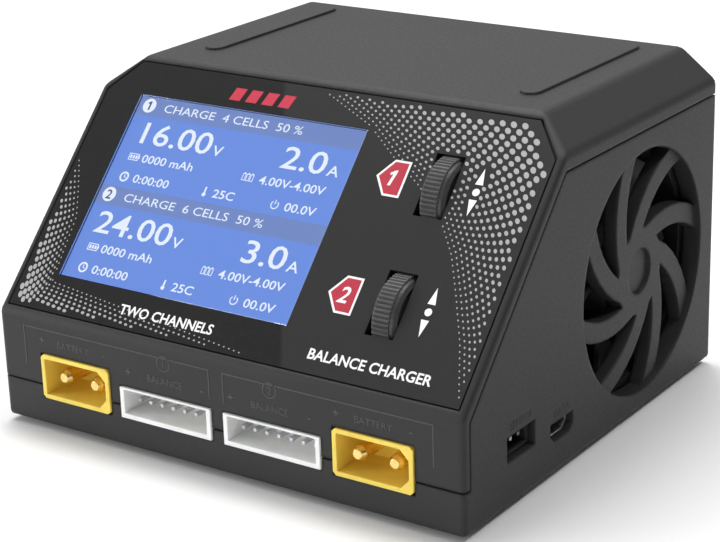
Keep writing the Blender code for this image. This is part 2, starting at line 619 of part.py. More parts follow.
def make_front_panel(charger):
    slots = [rectangle((WHEEL_X, u), SLOT_SIZE) for u in WHEEL_U]
    window = rectangle((SCREEN_X, SCREEN_U), SCREEN_SIZE)
    overlay = plate_mesh("front_overlay", [slope_outline(OVERLAY_MARGIN), window, *slots],
                         -OVERLAY_THICKNESS, 0)
    charger.piece("front_overlay", overlay, SLOPE, "overlay_sheet")
    glass = (SCREEN_SIZE[0] - 2 * CORNER_GAP, SCREEN_SIZE[1] - 2 * CORNER_GAP)
    window = plate_mesh("screen_window", [rectangle((SCREEN_X, SCREEN_U), glass)], -OVERLAY_THICKNESS, 0)
    charger.piece("screen_window", window, SLOPE, "clear_window")
    face = OVERLAY_THICKNESS + GAP
    step = face + 1.6 * MM
    low, high = SCREEN_U - LCD_HEIGHT / 2, SCREEN_U + LCD_HEIGHT / 2
    lcd = box_mesh("lcd_panel", ((LCD_SPAN[0], low, -step - 2.6 * MM), (LCD_SPAN[1], high, -step)))
    lcd = charger.piece("lcd_panel", lcd, SLOPE, "lcd_glass")
    raised = (SCREEN_SIZE[0] + 0.4 * MM, SCREEN_SIZE[1] + 0.4 * MM)
    charger.join(lcd, plate_mesh("lcd_face", [rectangle((SCREEN_X, SCREEN_U), raised)],
                                 -step - 1 * MM, -face), SLOPE)
    cuts = [rectangle((WHEEL_X, u), (6.4 * MM, 16.2 * MM)) for u in WHEEL_U]
    edge = [(-43 * MM, 6 * MM), (43 * MM, 6 * MM), (43 * MM, 44 * MM), (35.5 * MM, 44 * MM),
            (35.5 * MM, 48 * MM), (-43 * MM, 48 * MM)]
    board = plate_mesh("display_board", [edge, *cuts], BOARD_BACK, BOARD_FACE)
    charger.piece("display_board", board, SLOPE, "circuit_board")
    for number, u in enumerate(WHEEL_U, 1):
        make_wheel(charger, number, SLOPE @ Matrix.Translation((WHEEL_X, u, WHEEL_RISE - WHEEL_RADIUS)))



def make_wheel(charger, number, hub):
    """A ribbed wheel on its axle in a yoke that presses on a switch; hub is a frame on the axis."""
    turned = hub @ Matrix.Rotation(UPRIGHT, 4, "Y")            # z along the axle
    half = WHEEL_WIDTH / 2
    shoulder, taper = SHOULDER
    root = WHEEL_RADIUS - RIB_HEIGHT
    rim = []
    for rib in range(WHEEL_RIBS):
        for share, radius in ((0, root), (0.35, WHEEL_RADIUS), (0.65, WHEEL_RADIUS)):
            angle = 2 * math.pi * (rib + share) / WHEEL_RIBS
            rim.append((radius * math.cos(angle), radius * math.sin(angle)))
    bore = circle((0, 0), AXLE_RADIUS + CORNER_GAP, 24)
    ribs = plate_mesh("wheel", [rim, bore], -half + shoulder, half - shoulder)
    wheel = charger.piece(f"wheel_{number}", ribs, turned, "wheel_rubber", 20)
    start = half - shoulder - 0.2 * MM
    for turn in (0, math.pi):
        end = rod_mesh("shoulder", ((0, 0), start, half - shoulder / 2, root, 48, root - taper / 3),
                       ((0, 0), half - shoulder / 2, half, root - taper / 3, 48, root - taper))
        charger.join(wheel, end, turned @ Matrix.Rotation(turn, 4, "X"))
    charger.combine(wheel, plate_mesh("axle_bore", [bore], -CLEAR, CLEAR), turned)
    for side in (-1, 1):
        dish = ((0, 0), side * (half + CLEAR / 2) - CLEAR / 2 - 0.6 * MM * side,
                side * (half + CLEAR / 2) + CLEAR / 2 - 0.6 * MM * side, 6.2 * MM, 32)
        tool = rod_mesh("dish", dish)
        charger.combine(wheel, tool, turned)
    hub_boss = plate_mesh("hub_boss", [circle((0, 0), 2.6 * MM, 24), bore], -half, half)
    charger.join(wheel, hub_boss, turned)
    end = half + 1.7 * MM
    axle = rod_mesh("wheel_axle", ((0, 0), -end, end, AXLE_RADIUS, 24))
    charger.piece(f"wheel_axle_{number}", axle, turned, "steel", 40)
    inner, outer = half + 0.5 * MM, half + 1.7 * MM + GAP
    reach = WHEEL_RADIUS + 0.6 * MM
    yoke = plate_mesh("wheel_yoke", [rectangle((0, 0), (2 * outer, 2 * (reach + 1.2 * MM))),
                                     rectangle((0, 0), (2 * inner, 2 * reach))], YOKE_BOTTOM, YOKE_TOP)
    yoke = charger.piece(f"wheel_yoke_{number}", yoke, hub, "dark_plastic")
    tab = box_mesh("tab", ((inner + 0.3 * MM, -1.8 * MM, YOKE_TOP - TAB_THICKNESS),
                           (SWITCH_X + 1.5 * MM, 1.8 * MM, YOKE_TOP - 0.05 * MM)))
    charger.join(yoke, tab, hub)
    ends = end + CORNER_GAP
    charger.combine(yoke, rod_mesh("bearing", ((0, 0), -ends, ends, AXLE_RADIUS + CORNER_GAP, 24)), turned)
    # the push switch stands on the display board beside the wheel; its plunger reaches the tab
    base = BOARD_FACE - (WHEEL_RISE - WHEEL_RADIUS) + GAP
    body = SWITCH_SIZE / 2
    top = base + 1.8 * MM
    switch = box_mesh("switch", ((SWITCH_X - body, -body, base), (SWITCH_X + body, body, top)))
    switch = charger.piece(f"wheel_switch_{number}", switch, hub, "dark_plastic")
    place = hub @ Matrix.Translation((SWITCH_X, 0, 0))
    floor = base + 0.2 * MM
    charger.combine(switch, rod_mesh("bore", ((0, 0), floor, CLEAR, SWITCH_RADIUS + GAP, 20)), place)
    plunger = rod_mesh("plunger", ((0, 0), floor + 0.7 * MM, YOKE_TOP - TAB_THICKNESS - GAP,
                                   SWITCH_RADIUS, 20))
    charger.piece(f"switch_plunger_{number}", plunger, place, "steel", 40)


# ---------------------------------------------------------------- sockets

def battery_cavity():
    """A battery socket's inner outline: square at one end and with cut corners at the other."""
    w, h = BATTERY_SIZE[0] / 2 - BATTERY_WALL, BATTERY_SIZE[1] / 2 - BATTERY_WALL
    cut = BATTERY_CUT
    return [(-w, -h), (w - cut, -h), (w, -h + cut), (w, h - cut), (w - cut, h), (-w, h)]


def make_battery_socket(charger, name, pin_names, place):
    """A yellow two-pin socket with round pins; place is the middle of its mouth, z outwards."""
    w, h = BATTERY_SIZE[0] / 2, BATTERY_SIZE[1] / 2
    corner = 0.6 * MM
    outline = rectangle((0, 0), (2 * w, 2 * h), (corner, corner))
    body = charger.piece(name, plate_mesh(name, [outline], -BATTERY_DEPTH, 0), place, "socket_yellow")
    cavity = plate_mesh("cavity", [battery_cavity()], -BATTERY_CAVITY, CLEAR)
    charger.combine(body, cavity, place)
    for side, pin_name in zip((-1, 1), pin_names):
        centre = place @ Matrix.Translation((side * BATTERY_PIN_PITCH / 2, 0, 0))
        bore = rod_mesh("bore", ((0, 0), -2 * BATTERY_DEPTH, 0, BATTERY_PIN_RADIUS + GAP / 2, 20))
        charger.combine(body, bore, centre)
        tip = BATTERY_PIN_RADIUS * 0.6
        profile = [(0, -1 * MM), (tip, -1 * MM), (BATTERY_PIN_RADIUS, -1.8 * MM),
                   (BATTERY_PIN_RADIUS, -BATTERY_DEPTH - 2.5 * MM), (0, -BATTERY_DEPTH - 2.5 * MM)]
        turned_piece(charger, pin_name, profile, centre, "gold_pin", 20)


def make_pin_row(charger, name, count, pitch, place, tip, back, drop):
    """A row of square pins that bend down to the board, joined by their carrier bar."""
    half = 0.32 * MM
    first = -(count - 1) * pitch / 2
    legs = []
    pins = []
    for index in range(count):
        x = first + index * pitch
        pins.append(((x - half, -half, back), (x + half, half, tip)))
        legs.append(((x - half, drop, back - half), (x + half, half * 0.9, back + half)))
    bar = ((first - 1 * MM, -0.8 * MM, back - 0.8 * MM), (-first + 1 * MM, 0.8 * MM, back + 0.8 * MM))
    row = charger.piece(name, box_mesh(name, bar), place, "steel")
    charger.join(row, box_mesh("pins", *pins), place)
    charger.join(row, box_mesh("legs", *legs), place)


def make_box_socket(charger, name, size, depth, cavity_depth, wall, upper_wall, place, material):
    """A rectangular socket body with a rectangular cavity; upper_wall is the wall above the cavity."""
    w, h = size[0] / 2, size[1] / 2
    body = charger.piece(name, box_mesh(name, ((-w, -h, -depth), (w, h, 0))), place, material)
    charger.combine(body, box_mesh("cavity", ((-w + wall, -h + wall, -cavity_depth),
                                              (w - wall, h - upper_wall, CLEAR))), place)
    return body


def cut_pin_holes(charger, body, count, pitch, depth, place):
    half = 0.5 * MM
    first = -(count - 1) * pitch / 2
    holes = [((first + i * pitch - half, -half, -depth - CLEAR), (first + i * pitch + half, half, -half))
             for i in range(count)]
    charger.combine(body, box_mesh("pin_holes", *holes), place)


def make_front_sockets(charger):
    for number, side in ((1, -1), (2, 1)):
        place = FRONT_FACE @ Matrix.Translation((side * BATTERY_X, BATTERY_Z, SOCKET_PROUD))
        names = (f"battery_{number}_plus_pin", f"battery_{number}_minus_pin")
        make_battery_socket(charger, f"battery_socket_{number}", names, place)
        place = FRONT_FACE @ Matrix.Translation((side * BALANCE_X, BALANCE_Z, SOCKET_PROUD))
        body = make_box_socket(charger, f"balance_socket_{number}", BALANCE_SIZE, 10 * MM, 7.3 * MM,
                               0.85 * MM, 0.4 * MM, place, "socket_white")
        cut_pin_holes(charger, body, BALANCE_PINS, BALANCE_PITCH, 10 * MM, place)
        drop = MAIN_BOARD_Z + BOARD_THICKNESS + GAP - UNDERSIDE - BALANCE_Z
        make_pin_row(charger, f"balance_pins_{number}", BALANCE_PINS, BALANCE_PITCH, place,
                     -2.2 * MM, -11.6 * MM, drop)


def make_side_sockets(charger):
    inset = -1.2 * MM                       # of both bodies behind the outer face
    place = RIGHT_FACE @ Matrix.Translation((SENSOR_Y, SENSOR_Z, inset))
    size = (SENSOR_SIZE[0] - 2 * GAP, SENSOR_SIZE[1] - 2 * GAP)
    body = make_box_socket(charger, "sensor_socket", size, 5.5 * MM, 4.2 * MM, 0.5 * MM, 0.5 * MM,
                           place, "case_plastic")
    cut_pin_holes(charger, body, 3, 2.54 * MM, 5.5 * MM, place)
    drop = MAIN_BOARD_Z + BOARD_THICKNESS + GAP - UNDERSIDE - SENSOR_Z
    make_pin_row(charger, "sensor_pins", 3, 2.54 * MM, place, -0.8 * MM, -6.8 * MM, drop)
    place = RIGHT_FACE @ Matrix.Translation((0, 0, inset))
    shell = plate_mesh("data_socket", [data_outline(-GAP)], -6.5 * MM, 0)
    shell = charger.piece("data_socket", shell, place, "steel")
    charger.combine(shell, plate_mesh("cavity", [data_outline(-GAP - 0.35 * MM)], -5 * MM, CLEAR), place)
    tongue = box_mesh("tongue", ((DATA_Y - 2 * MM, DATA_Z + 0.1 * MM, -5.5 * MM),
                                 (DATA_Y + 2 * MM, DATA_Z + 0.75 * MM, -0.8 * MM)))
    charger.join(shell, tongue, place)


def make_back_sockets(charger):
    place = BACK_FACE @ Matrix.Translation((-SUPPLY_X, SUPPLY_Z, SOCKET_PROUD))
    make_battery_socket(charger, "supply_socket", ("supply_plus_pin", "supply_minus_pin"), place)
    place = BACK_FACE @ Matrix.Translation((-MAINS_X, MAINS_Z, 0))
    w, h = MAINS_SIZE[0] / 2, MAINS_SIZE[1] / 2
    flange = rectangle((0, 0), (2 * w, 2 * h), (1.5 * MM, 1.5 * MM))
    outer = SOCKET_PROUD
    inlet = plate_mesh("mains_inlet", [flange], -PANEL_RECESS + GAP, outer)
    inlet = charger.piece("mains_inlet", inlet, place, "dark_plastic")
    neck = 1 * MM + GAP
    charger.join(inlet, box_mesh("barrel", ((-w + neck, -h + neck, -18 * MM),
                                            (w - neck, h - neck, -0.2 * MM))), place)
    pitch = MAINS_PIN_PITCH / 2
    cavity = capsule((-pitch, 0), (pitch, 0), 4.3 * MM, 8)
    charger.combine(inlet, plate_mesh("cavity", [cavity], -11 * MM, CLEAR), place)
    bores = [((side * pitch, 0), -30 * MM, -5 * MM, 1.2 * MM + GAP / 2, 16) for side in (-1, 1)]
    charger.combine(inlet, rod_mesh("bores", *bores), place)
    for side, name in ((-1, "mains_live_pin"), (1, "mains_neutral_pin")):
        centre = place @ Matrix.Translation((side * pitch, 0, 0))
        profile = [(0, -2 * MM), (0.7 * MM, -2 * MM), (1.2 * MM, -2.8 * MM), (1.2 * MM, -21 * MM),
                   (0, -21 * MM)]
        turned_piece(charger, name, profile, centre, "steel", 16)


# ---------------------------------------------------------------- fan

def blade_mesh(name):
    """The rotor's blades: curved sheets that twist as they run from the hub to their tips."""
    bm = bmesh.new()
    inner, outer, chord = 7.4 * MM, ROTOR_RADIUS, 38 * DEGREE
    for blade in range(ROTOR_BLADES):
        sheet = bmesh.ops.create_grid(bm, x_segments=4, y_segments=3, size=1)["verts"]
        for vert in sheet:
            share = (vert.co.x + 1) / 2              # from the hub to the tip
            along = vert.co.y                        # from the trailing to the leading edge
            radius = inner + (outer - inner) * share
            angle = 2 * math.pi * blade / ROTOR_BLADES + chord * (along / 2 + 0.45 * share)
            height = -along * (2.9 - 0.9 * share) * MM + 0.6 * MM * along * along
            vert.co = (radius * math.cos(angle), radius * math.sin(angle), height)
    mesh = bpy.data.meshes.new(name)
    bmesh.ops.recalc_face_normals(bm, faces=bm.faces)
    thickness = 0.9 * MM
    faces = bm.faces[:]
    bmesh.ops.solidify(bm, geom=faces, thickness=thickness)
    bmesh.ops.recalc_face_normals(bm, faces=bm.faces)
    bm.to_mesh(mesh)
    bm.free()
    return mesh


def make_fan(charger):
    """The fan stands inside the right wall; fan is a frame at its middle, z outwards."""
    depth = GRILLE_DEPTH + GAP + FAN_DEPTH / 2
    fan = RIGHT_FACE @ Matrix.Translation((FAN_Y, FAN_Z, -depth))
    half, thick = FAN_SIZE / 2, FAN_DEPTH / 2
    bore = circle((0, 0), ROTOR_RADIUS + 0.9 * MM, 48)
    corner = 19 * MM
    holes = [circle((x, y), 1.6 * MM, 12) for x in (-corner, corner) for y in (-corner, corner)]
    outline = rectangle((0, 0), (FAN_SIZE, FAN_SIZE), (2 * MM, 2 * MM))
    frame = plate_mesh("fan_frame", [outline, bore, *holes], -thick, thick)
    frame = charger.piece("fan_frame", frame, fan, "dark_plastic", 30)
    back = -thick + 1.2 * MM
    charger.join(frame, rod_mesh("motor_plate", ((0, 0), -thick, back, 9 * MM, 32)), fan)
    for arm in range(3):
        turn = fan @ Matrix.Rotation(2 * math.pi * arm / 3 + 0.4, 4, "Z")
        charger.join(frame, box_mesh("arm", ((8 * MM, -1.1 * MM, -thick + 0.02 * MM),
                                             (half - 0.7 * MM, 1.1 * MM, back - 0.02 * MM))), turn)
    tube_top = 3.2 * MM
    charger.join(frame, rod_mesh("tube", ((0, 0), -thick + 0.5 * MM, tube_top, 3 * MM, 24)), fan)
    charger.combine(frame, rod_mesh("tube_bore", ((0, 0), back - 0.6 * MM, CLEAR, 2.3 * MM, 24)), fan)
    sleeve = plate_mesh("fan_bearing", [circle((0, 0), 2.15 * MM, 24), circle((0, 0), 1.1 * MM, 24)],
                        back - 0.3 * MM, tube_top - 0.2 * MM)
    charger.piece("fan_bearing", sleeve, fan, "copper", 40)
    poles = []
    for pole in range(4):
        middle = pole * math.pi / 2
        poles += arc((0, 0), 6.6 * MM, middle - 0.62, middle + 0.62, 4)
        poles += arc((0, 0), 4.6 * MM, middle + 0.66, middle + 0.9, 1)
    stator = plate_mesh("fan_stator", [poles, circle((0, 0), 3.3 * MM, 24)], back + 1 * MM, 2.2 * MM)
    charger.piece("fan_stator", stator, fan, "copper")
    rim, wall, top = 8.4 * MM, 1.1 * MM, thick - 0.3 * MM
    low = back + 0.6 * MM
    rotor = rod_mesh("fan_rotor", ((0, 0), low, top, rim, 40))
    rotor = charger.piece("fan_rotor", rotor, fan, "panel_plastic", 35)
    charger.join(rotor, blade_mesh("blades"), fan)
    charger.combine(rotor, rod_mesh("cup", ((0, 0), low - CLEAR, top - wall, rim - wall, 32)), fan)
    shaft_bore = rod_mesh("shaft_bore", ((0, 0), 0, top - 0.4 * MM, 0.95 * MM + CORNER_GAP, 20))
    charger.combine(rotor, shaft_bore, fan)
    shaft = rod_mesh("fan_shaft", ((0, 0), back, top - 0.55 * MM, 0.95 * MM, 20))
    charger.piece("fan_shaft", shaft, fan, "steel", 40)


# ---------------------------------------------------------------- boards and what is on them

def make_electronics(charger):
    bottom, top = MAIN_BOARD_Z, MAIN_BOARD_Z + BOARD_THICKNESS
    edge = [(-39.8, -41), (39.8, -41), (39.8, -33), (45.5, -33), (45.5, -8), (35, -8), (35, 32.5),
            (-45, 32.5), (-45, -33), (-39.8, -33)]
    edge = [(x * MM, y * MM) for x, y in edge]
    holes = [circle(place, PILLAR_RADIUS + 0.5 * MM, 16) for place in PILLARS]
    board = plate_mesh("main_board", [edge, *holes], bottom, top)
    charger.piece("main_board", board, FLAT, "circuit_board")
    sheet = rectangle((-5 * MM, 11 * MM), (78 * MM, 40 * MM))
    holes = [circle(PILLARS[index], 1.2 * MM, 12) for index in (1, 2)]
    board = plate_mesh("power_board", [sheet, *holes], POWER_BOARD_Z, POWER_BOARD_Z + BOARD_THICKNESS)
    charger.piece("power_board", board, FLAT, "circuit_board")

    comb = [(0, 0)]
    fins, pitch, fin = 7, 3.4 * MM, 1.1 * MM
    for index in range(fins):
        x = index * pitch
        comb += [(x, 14 * MM), (x + fin, 14 * MM)]
        if index < fins - 1:
            comb += [(x + fin, 2 * MM), (x + pitch, 2 * MM)]
    comb += [((fins - 1) * pitch + fin, 0)]
    sink = face_frame((0, -6 * MM, top + GAP), UPRIGHT)
    charger.piece("heat_sink", plate_mesh("heat_sink", [comb], -30 * MM, 0), sink, "aluminium")

    deck = POWER_BOARD_Z + BOARD_THICKNESS + GAP
    core = box_mesh("transformer", ((-12 * MM, -9 * MM, 0), (12 * MM, 9 * MM, 18 * MM)))
    place = Matrix.Translation((12 * MM, 8 * MM, deck))
    core = charger.piece("transformer", core, place, "ferrite")
    charger.join(core, box_mesh("winding", ((-8 * MM, -11 * MM, 3 * MM), (8 * MM, 11 * MM, 15 * MM))), place)
    round_edges(core, 0.5 * MM, 1)

    radius, height = 7.5 * MM, 20 * MM
    profile = [(0, height - 0.6 * MM), (radius - 1.2 * MM, height - 0.6 * MM), (radius - 0.8 * MM, height),
               (radius - 0.3 * MM, height - 0.4 * MM), (radius, 1.5 * MM), (radius - 0.6 * MM, 0), (0, 0)]
    place = Matrix.Translation((-33 * MM, 8 * MM, deck))
    turned_piece(charger, "capacitor", profile, place, "can_sleeve", 24)

    ring = mesh_of("inductor", lambda bm: torus(bm, 6 * MM, 2.7 * MM, 28, 10))
    place = Matrix.Translation((-18 * MM, -8 * MM, top + GAP + 2.7 * MM))
    charger.piece("inductor", ring, place, "copper", 60)

    buzzer = rod_mesh("buzzer", ((0, 0), 0, 6 * MM, 4.5 * MM, 28))
    place = Matrix.Translation((-34 * MM, -12 * MM, top + GAP))
    buzzer = charger.piece("buzzer", buzzer, place, "dark_plastic", 40)
    charger.combine(buzzer, rod_mesh("sound_hole", ((0, 0), 2 * MM, CLEAR * 2, 1 * MM, 16)), place)


def torus(bm, radius, thickness, segments, sides):
    """A ring about z, drawn by turning a small circle."""
    section = [bm.verts.new((radius + x, 0, z)) for x, z in circle((0, 0), thickness, sides)]
    edges = [bm.edges.new((a, b)) for a, b in zip(section, section[1:] + section[:1])]
    bmesh.ops.spin(bm, geom=section + edges, axis=(0, 0, 1), cent=(0, 0, 0), steps=segments,
                   angle=2 * math.pi, use_merge=True, use_normal_flip=False)
    bmesh.ops.remove_doubles(bm, verts=bm.verts, dist=1e-6)
    bmesh.ops.recalc_face_normals(bm, faces=bm.faces)


def wire_piece(charger, name, points, radius, material):
    """A lead along a smooth route."""
    curve = bpy.data.curves.new(name, "CURVE")
    curve.dimensions = "3D"
    curve.bevel_depth = radius
    curve.bevel_resolution = 2
    curve.use_fill_caps = True
    spline = curve.splines.new("POLY")
    spline.points.add(len(points) - 1)
    for point, place in zip(spline.points, points):
        point.co = (*place, 1)
    curve.materials.append(charger.materials[material])
    charger.pieces.objects.link(bpy.data.objects.new(name, curve))


def bend(points, steps=4):
    """Points along a smooth curve through the given ones (Catmull-Rom)."""
    route = [Vector(point) * MM for point in points]
    route = [route[0] * 2 - route[1], *route, route[-1] * 2 - route[-2]]
    smooth = []
    for a, b, c, d in zip(route, route[1:], route[2:], route[3:]):
        for step in range(steps):
            t = step / steps
            smooth.append(0.5 * ((2 * b) + (c - a) * t + (2 * a - 5 * b + 4 * c - d) * t ** 2
                                 + (3 * b - a - 3 * c + d) * t ** 3))
    return [*smooth, route[-2]]


def make_leads(charger):
    fan_route = [(36.2, -8, 18), (34, -11, 15), (33, -13, 11), (33, -13, 9), (33, -13, 6.4)]
    wire_piece(charger, "fan_lead", bend(fan_route), 0.8 * MM, "dark_plastic")
    ribbon_route = [(-12, -28, 23), (-12, -25, 18), (-12, -25.5, 12), (-12, -25.5, 9), (-12, -25.5, 6.4)]
    wire_piece(charger, "display_lead", bend(ribbon_route), 0.9 * MM, "ribbon")


def main():
    for item in list(bpy.data.objects):
        bpy.data.objects.remove(item)
    charger = Assembly()
    make_bottom_case(charger)
    make_top_cover(charger)
    make_back_panel(charger)
    make_feet_and_screws(charger)
    make_front_panel(charger)
    make_front_sockets(charger)
    make_side_sockets(charger)
    make_back_sockets(charger)
    make_fan(charger)
    make_electronics(charger)
    make_leads(charger)
    bpy.context.view_layer.update()


main()
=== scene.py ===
"""The look of the balance battery charger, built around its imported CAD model."""
import json
import math

import bmesh
import bpy
from mathutils import Matrix, Vector


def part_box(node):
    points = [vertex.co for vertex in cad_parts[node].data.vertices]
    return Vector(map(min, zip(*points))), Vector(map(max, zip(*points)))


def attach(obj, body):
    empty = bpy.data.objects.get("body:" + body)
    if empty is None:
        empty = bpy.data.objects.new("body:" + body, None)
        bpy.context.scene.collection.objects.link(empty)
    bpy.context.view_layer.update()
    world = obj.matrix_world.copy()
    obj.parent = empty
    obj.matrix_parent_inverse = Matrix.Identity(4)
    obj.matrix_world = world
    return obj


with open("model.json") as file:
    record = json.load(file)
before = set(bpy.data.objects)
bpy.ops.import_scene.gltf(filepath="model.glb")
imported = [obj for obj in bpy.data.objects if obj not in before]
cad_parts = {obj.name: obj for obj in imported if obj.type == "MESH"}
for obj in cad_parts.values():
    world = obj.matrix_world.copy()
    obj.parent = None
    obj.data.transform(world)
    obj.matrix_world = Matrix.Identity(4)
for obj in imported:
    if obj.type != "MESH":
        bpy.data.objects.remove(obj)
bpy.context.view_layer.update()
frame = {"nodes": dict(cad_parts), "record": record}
nodes = frame["nodes"]

MM = 0.001
DEGREE = math.pi / 180

# ---------------------------------------------------------------- places on the case

bottom_low, bottom_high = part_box("bottom_case")
UNDERSIDE = bottom_low.z
FRONT = bottom_low.y
WIDTH = bottom_high.x - bottom_low.x
DEPTH = bottom_high.y - bottom_low.y

# The CAD's own values for the front face and for the slope above it
FRONT_HEIGHT = 20.5 * MM
SLOPE_RUN = 37 * MM
SLOPE_RISE = 39.5 * MM
SLOPE_ANGLE = math.atan2(SLOPE_RISE, SLOPE_RUN)
SLOPE_LENGTH = math.hypot(SLOPE_RISE, SLOPE_RUN)
INK = 0.03 * MM                     # thickness of print on a surface


def face_frame(origin, tilt, turn=0):
    """A frame whose x runs across a face, y up it and z out of it."""
    return Matrix.Translation(origin) @ Matrix.Rotation(turn, 4, "Z") @ Matrix.Rotation(tilt, 4, "X")


UPRIGHT = 90 * DEGREE
SLOPE = face_frame((0, FRONT, UNDERSIDE + FRONT_HEIGHT), SLOPE_ANGLE)
FRONT_FACE = face_frame((0, FRONT, UNDERSIDE), UPRIGHT)
RIGHT_FACE = face_frame((WIDTH / 2, 0, UNDERSIDE), UPRIGHT, UPRIGHT)
BACK_FACE = face_frame((0, FRONT + DEPTH, UNDERSIDE), UPRIGHT, 2 * UPRIGHT)

# Places on the slope: across from its middle, and up from its lower edge
SCREEN_MIDDLE = (-14.35 * MM, 27.4 * MM)
SCREEN_SIZE = (50.4 * MM, 37.4 * MM)
WHEEL_ACROSS = 28.6 * MM
WHEELS_UP = (38.0 * MM, 16.1 * MM)


# ---------------------------------------------------------------- camera, floor and light

SENSOR_WIDTH = 36
LENS = 103.18
LENS_SHIFT = (-0.0637, -0.0024)
NEAREST = 10 * MM
CAMERA_PLACE = (0.20462, -0.29149, 0.15124)
CAMERA_AZIMUTH = 33.8 * DEGREE
CAMERA_ELEVATION = 19.7 * DEGREE
CAMERA_ROLL = -1.415 * DEGREE

SKY_SPAN = (-0.3, 0.9)              # from left to right, where the sky goes from one shade to the other
SKY_SHADES = (0.6, 0.08)
LIGHT_AIM = (0, 0, 0.03)
LIGHTS = {                          # each light's place, size and power
    "key_light": ((-0.22, 0.15, 0.75), (0.6, 0.6), 5.5),
    "rim_light": ((0.4, 0.15, 0.8), (0.2, 0.2), 2.6),
    "left_light": ((-0.75, -0.55, 0.2), (0.4, 0.3), 3.0),
    "right_light": ((0.25, -0.75, 0.1), (0.4, 0.2), 0.8),
}
FLOOR_REACH = 2.5


def add_camera():
    data = bpy.data.cameras.new("camera")
    data.sensor_width = SENSOR_WIDTH
    data.lens = LENS
    data.shift_x, data.shift_y = LENS_SHIFT
    data.clip_start = NEAREST
    level = math.cos(CAMERA_ELEVATION)
    back = Vector((math.sin(CAMERA_AZIMUTH) * level, -math.cos(CAMERA_AZIMUTH) * level,
                   math.sin(CAMERA_ELEVATION)))
    side = Vector((math.cos(CAMERA_AZIMUTH), math.sin(CAMERA_AZIMUTH), 0))
    right = side * math.cos(CAMERA_ROLL) + back.cross(side) * math.sin(CAMERA_ROLL)
    up = back.cross(right)
    rotation = Matrix((right, up, back)).transposed().to_4x4()
    camera = bpy.data.objects.new("camera", data)
    camera.matrix_world = Matrix.Translation(CAMERA_PLACE) @ rotation
    bpy.context.scene.collection.objects.link(camera)
    bpy.context.scene.camera = camera


def add_sky():
    """A pale sky that is darker towards the right."""
    bpy.context.scene.view_settings.view_transform = "Standard"
    world = bpy.data.worlds.new("studio")
    world.use_nodes = True
    background = world.node_tree.nodes["Background"]
    add = world.node_tree.nodes.new
    link = world.node_tree.links.new
    heading = add("ShaderNodeTexCoord")
    split = add("ShaderNodeSeparateXYZ")
    shade = add("ShaderNodeMapRange")
    shade.inputs["From Min"].default_value, shade.inputs["From Max"].default_value = SKY_SPAN
    shade.inputs["To Min"].default_value, shade.inputs["To Max"].default_value = SKY_SHADES
    link(heading.outputs["Generated"], split.inputs["Vector"])
    link(split.outputs["X"], shade.inputs["Value"])
    link(shade.outputs["Result"], background.inputs["Color"])
    background.inputs["Strength"].default_value = 1.0
    bpy.context.scene.world = world


def add_lights():
    for name, (place, size, power) in LIGHTS.items():
        data = bpy.data.lights.new(name, "AREA")
        data.shape = "RECTANGLE"
        data.size, data.size_y = size
        data.energy = power
        light = bpy.data.objects.new(name, data)
        heading = (Vector(LIGHT_AIM) - Vector(place)).to_track_quat("-Z", "Y")
        light.matrix_world = Matrix.Translation(place) @ heading.to_matrix().to_4x4()
        bpy.context.scene.collection.objects.link(light)


def add_floor():
    bm = bmesh.new()
    bmesh.ops.create_grid(bm, x_segments=2, y_segments=2, size=FLOOR_REACH)
    floor = bpy.data.objects.new("floor", bpy.data.meshes.new("floor"))
    bm.to_mesh(floor.data)
    bm.free()
    bpy.context.scene.collection.objects.link(floor)
    floor.data.materials.append(floor_material())


# ---------------------------------------------------------------- materials

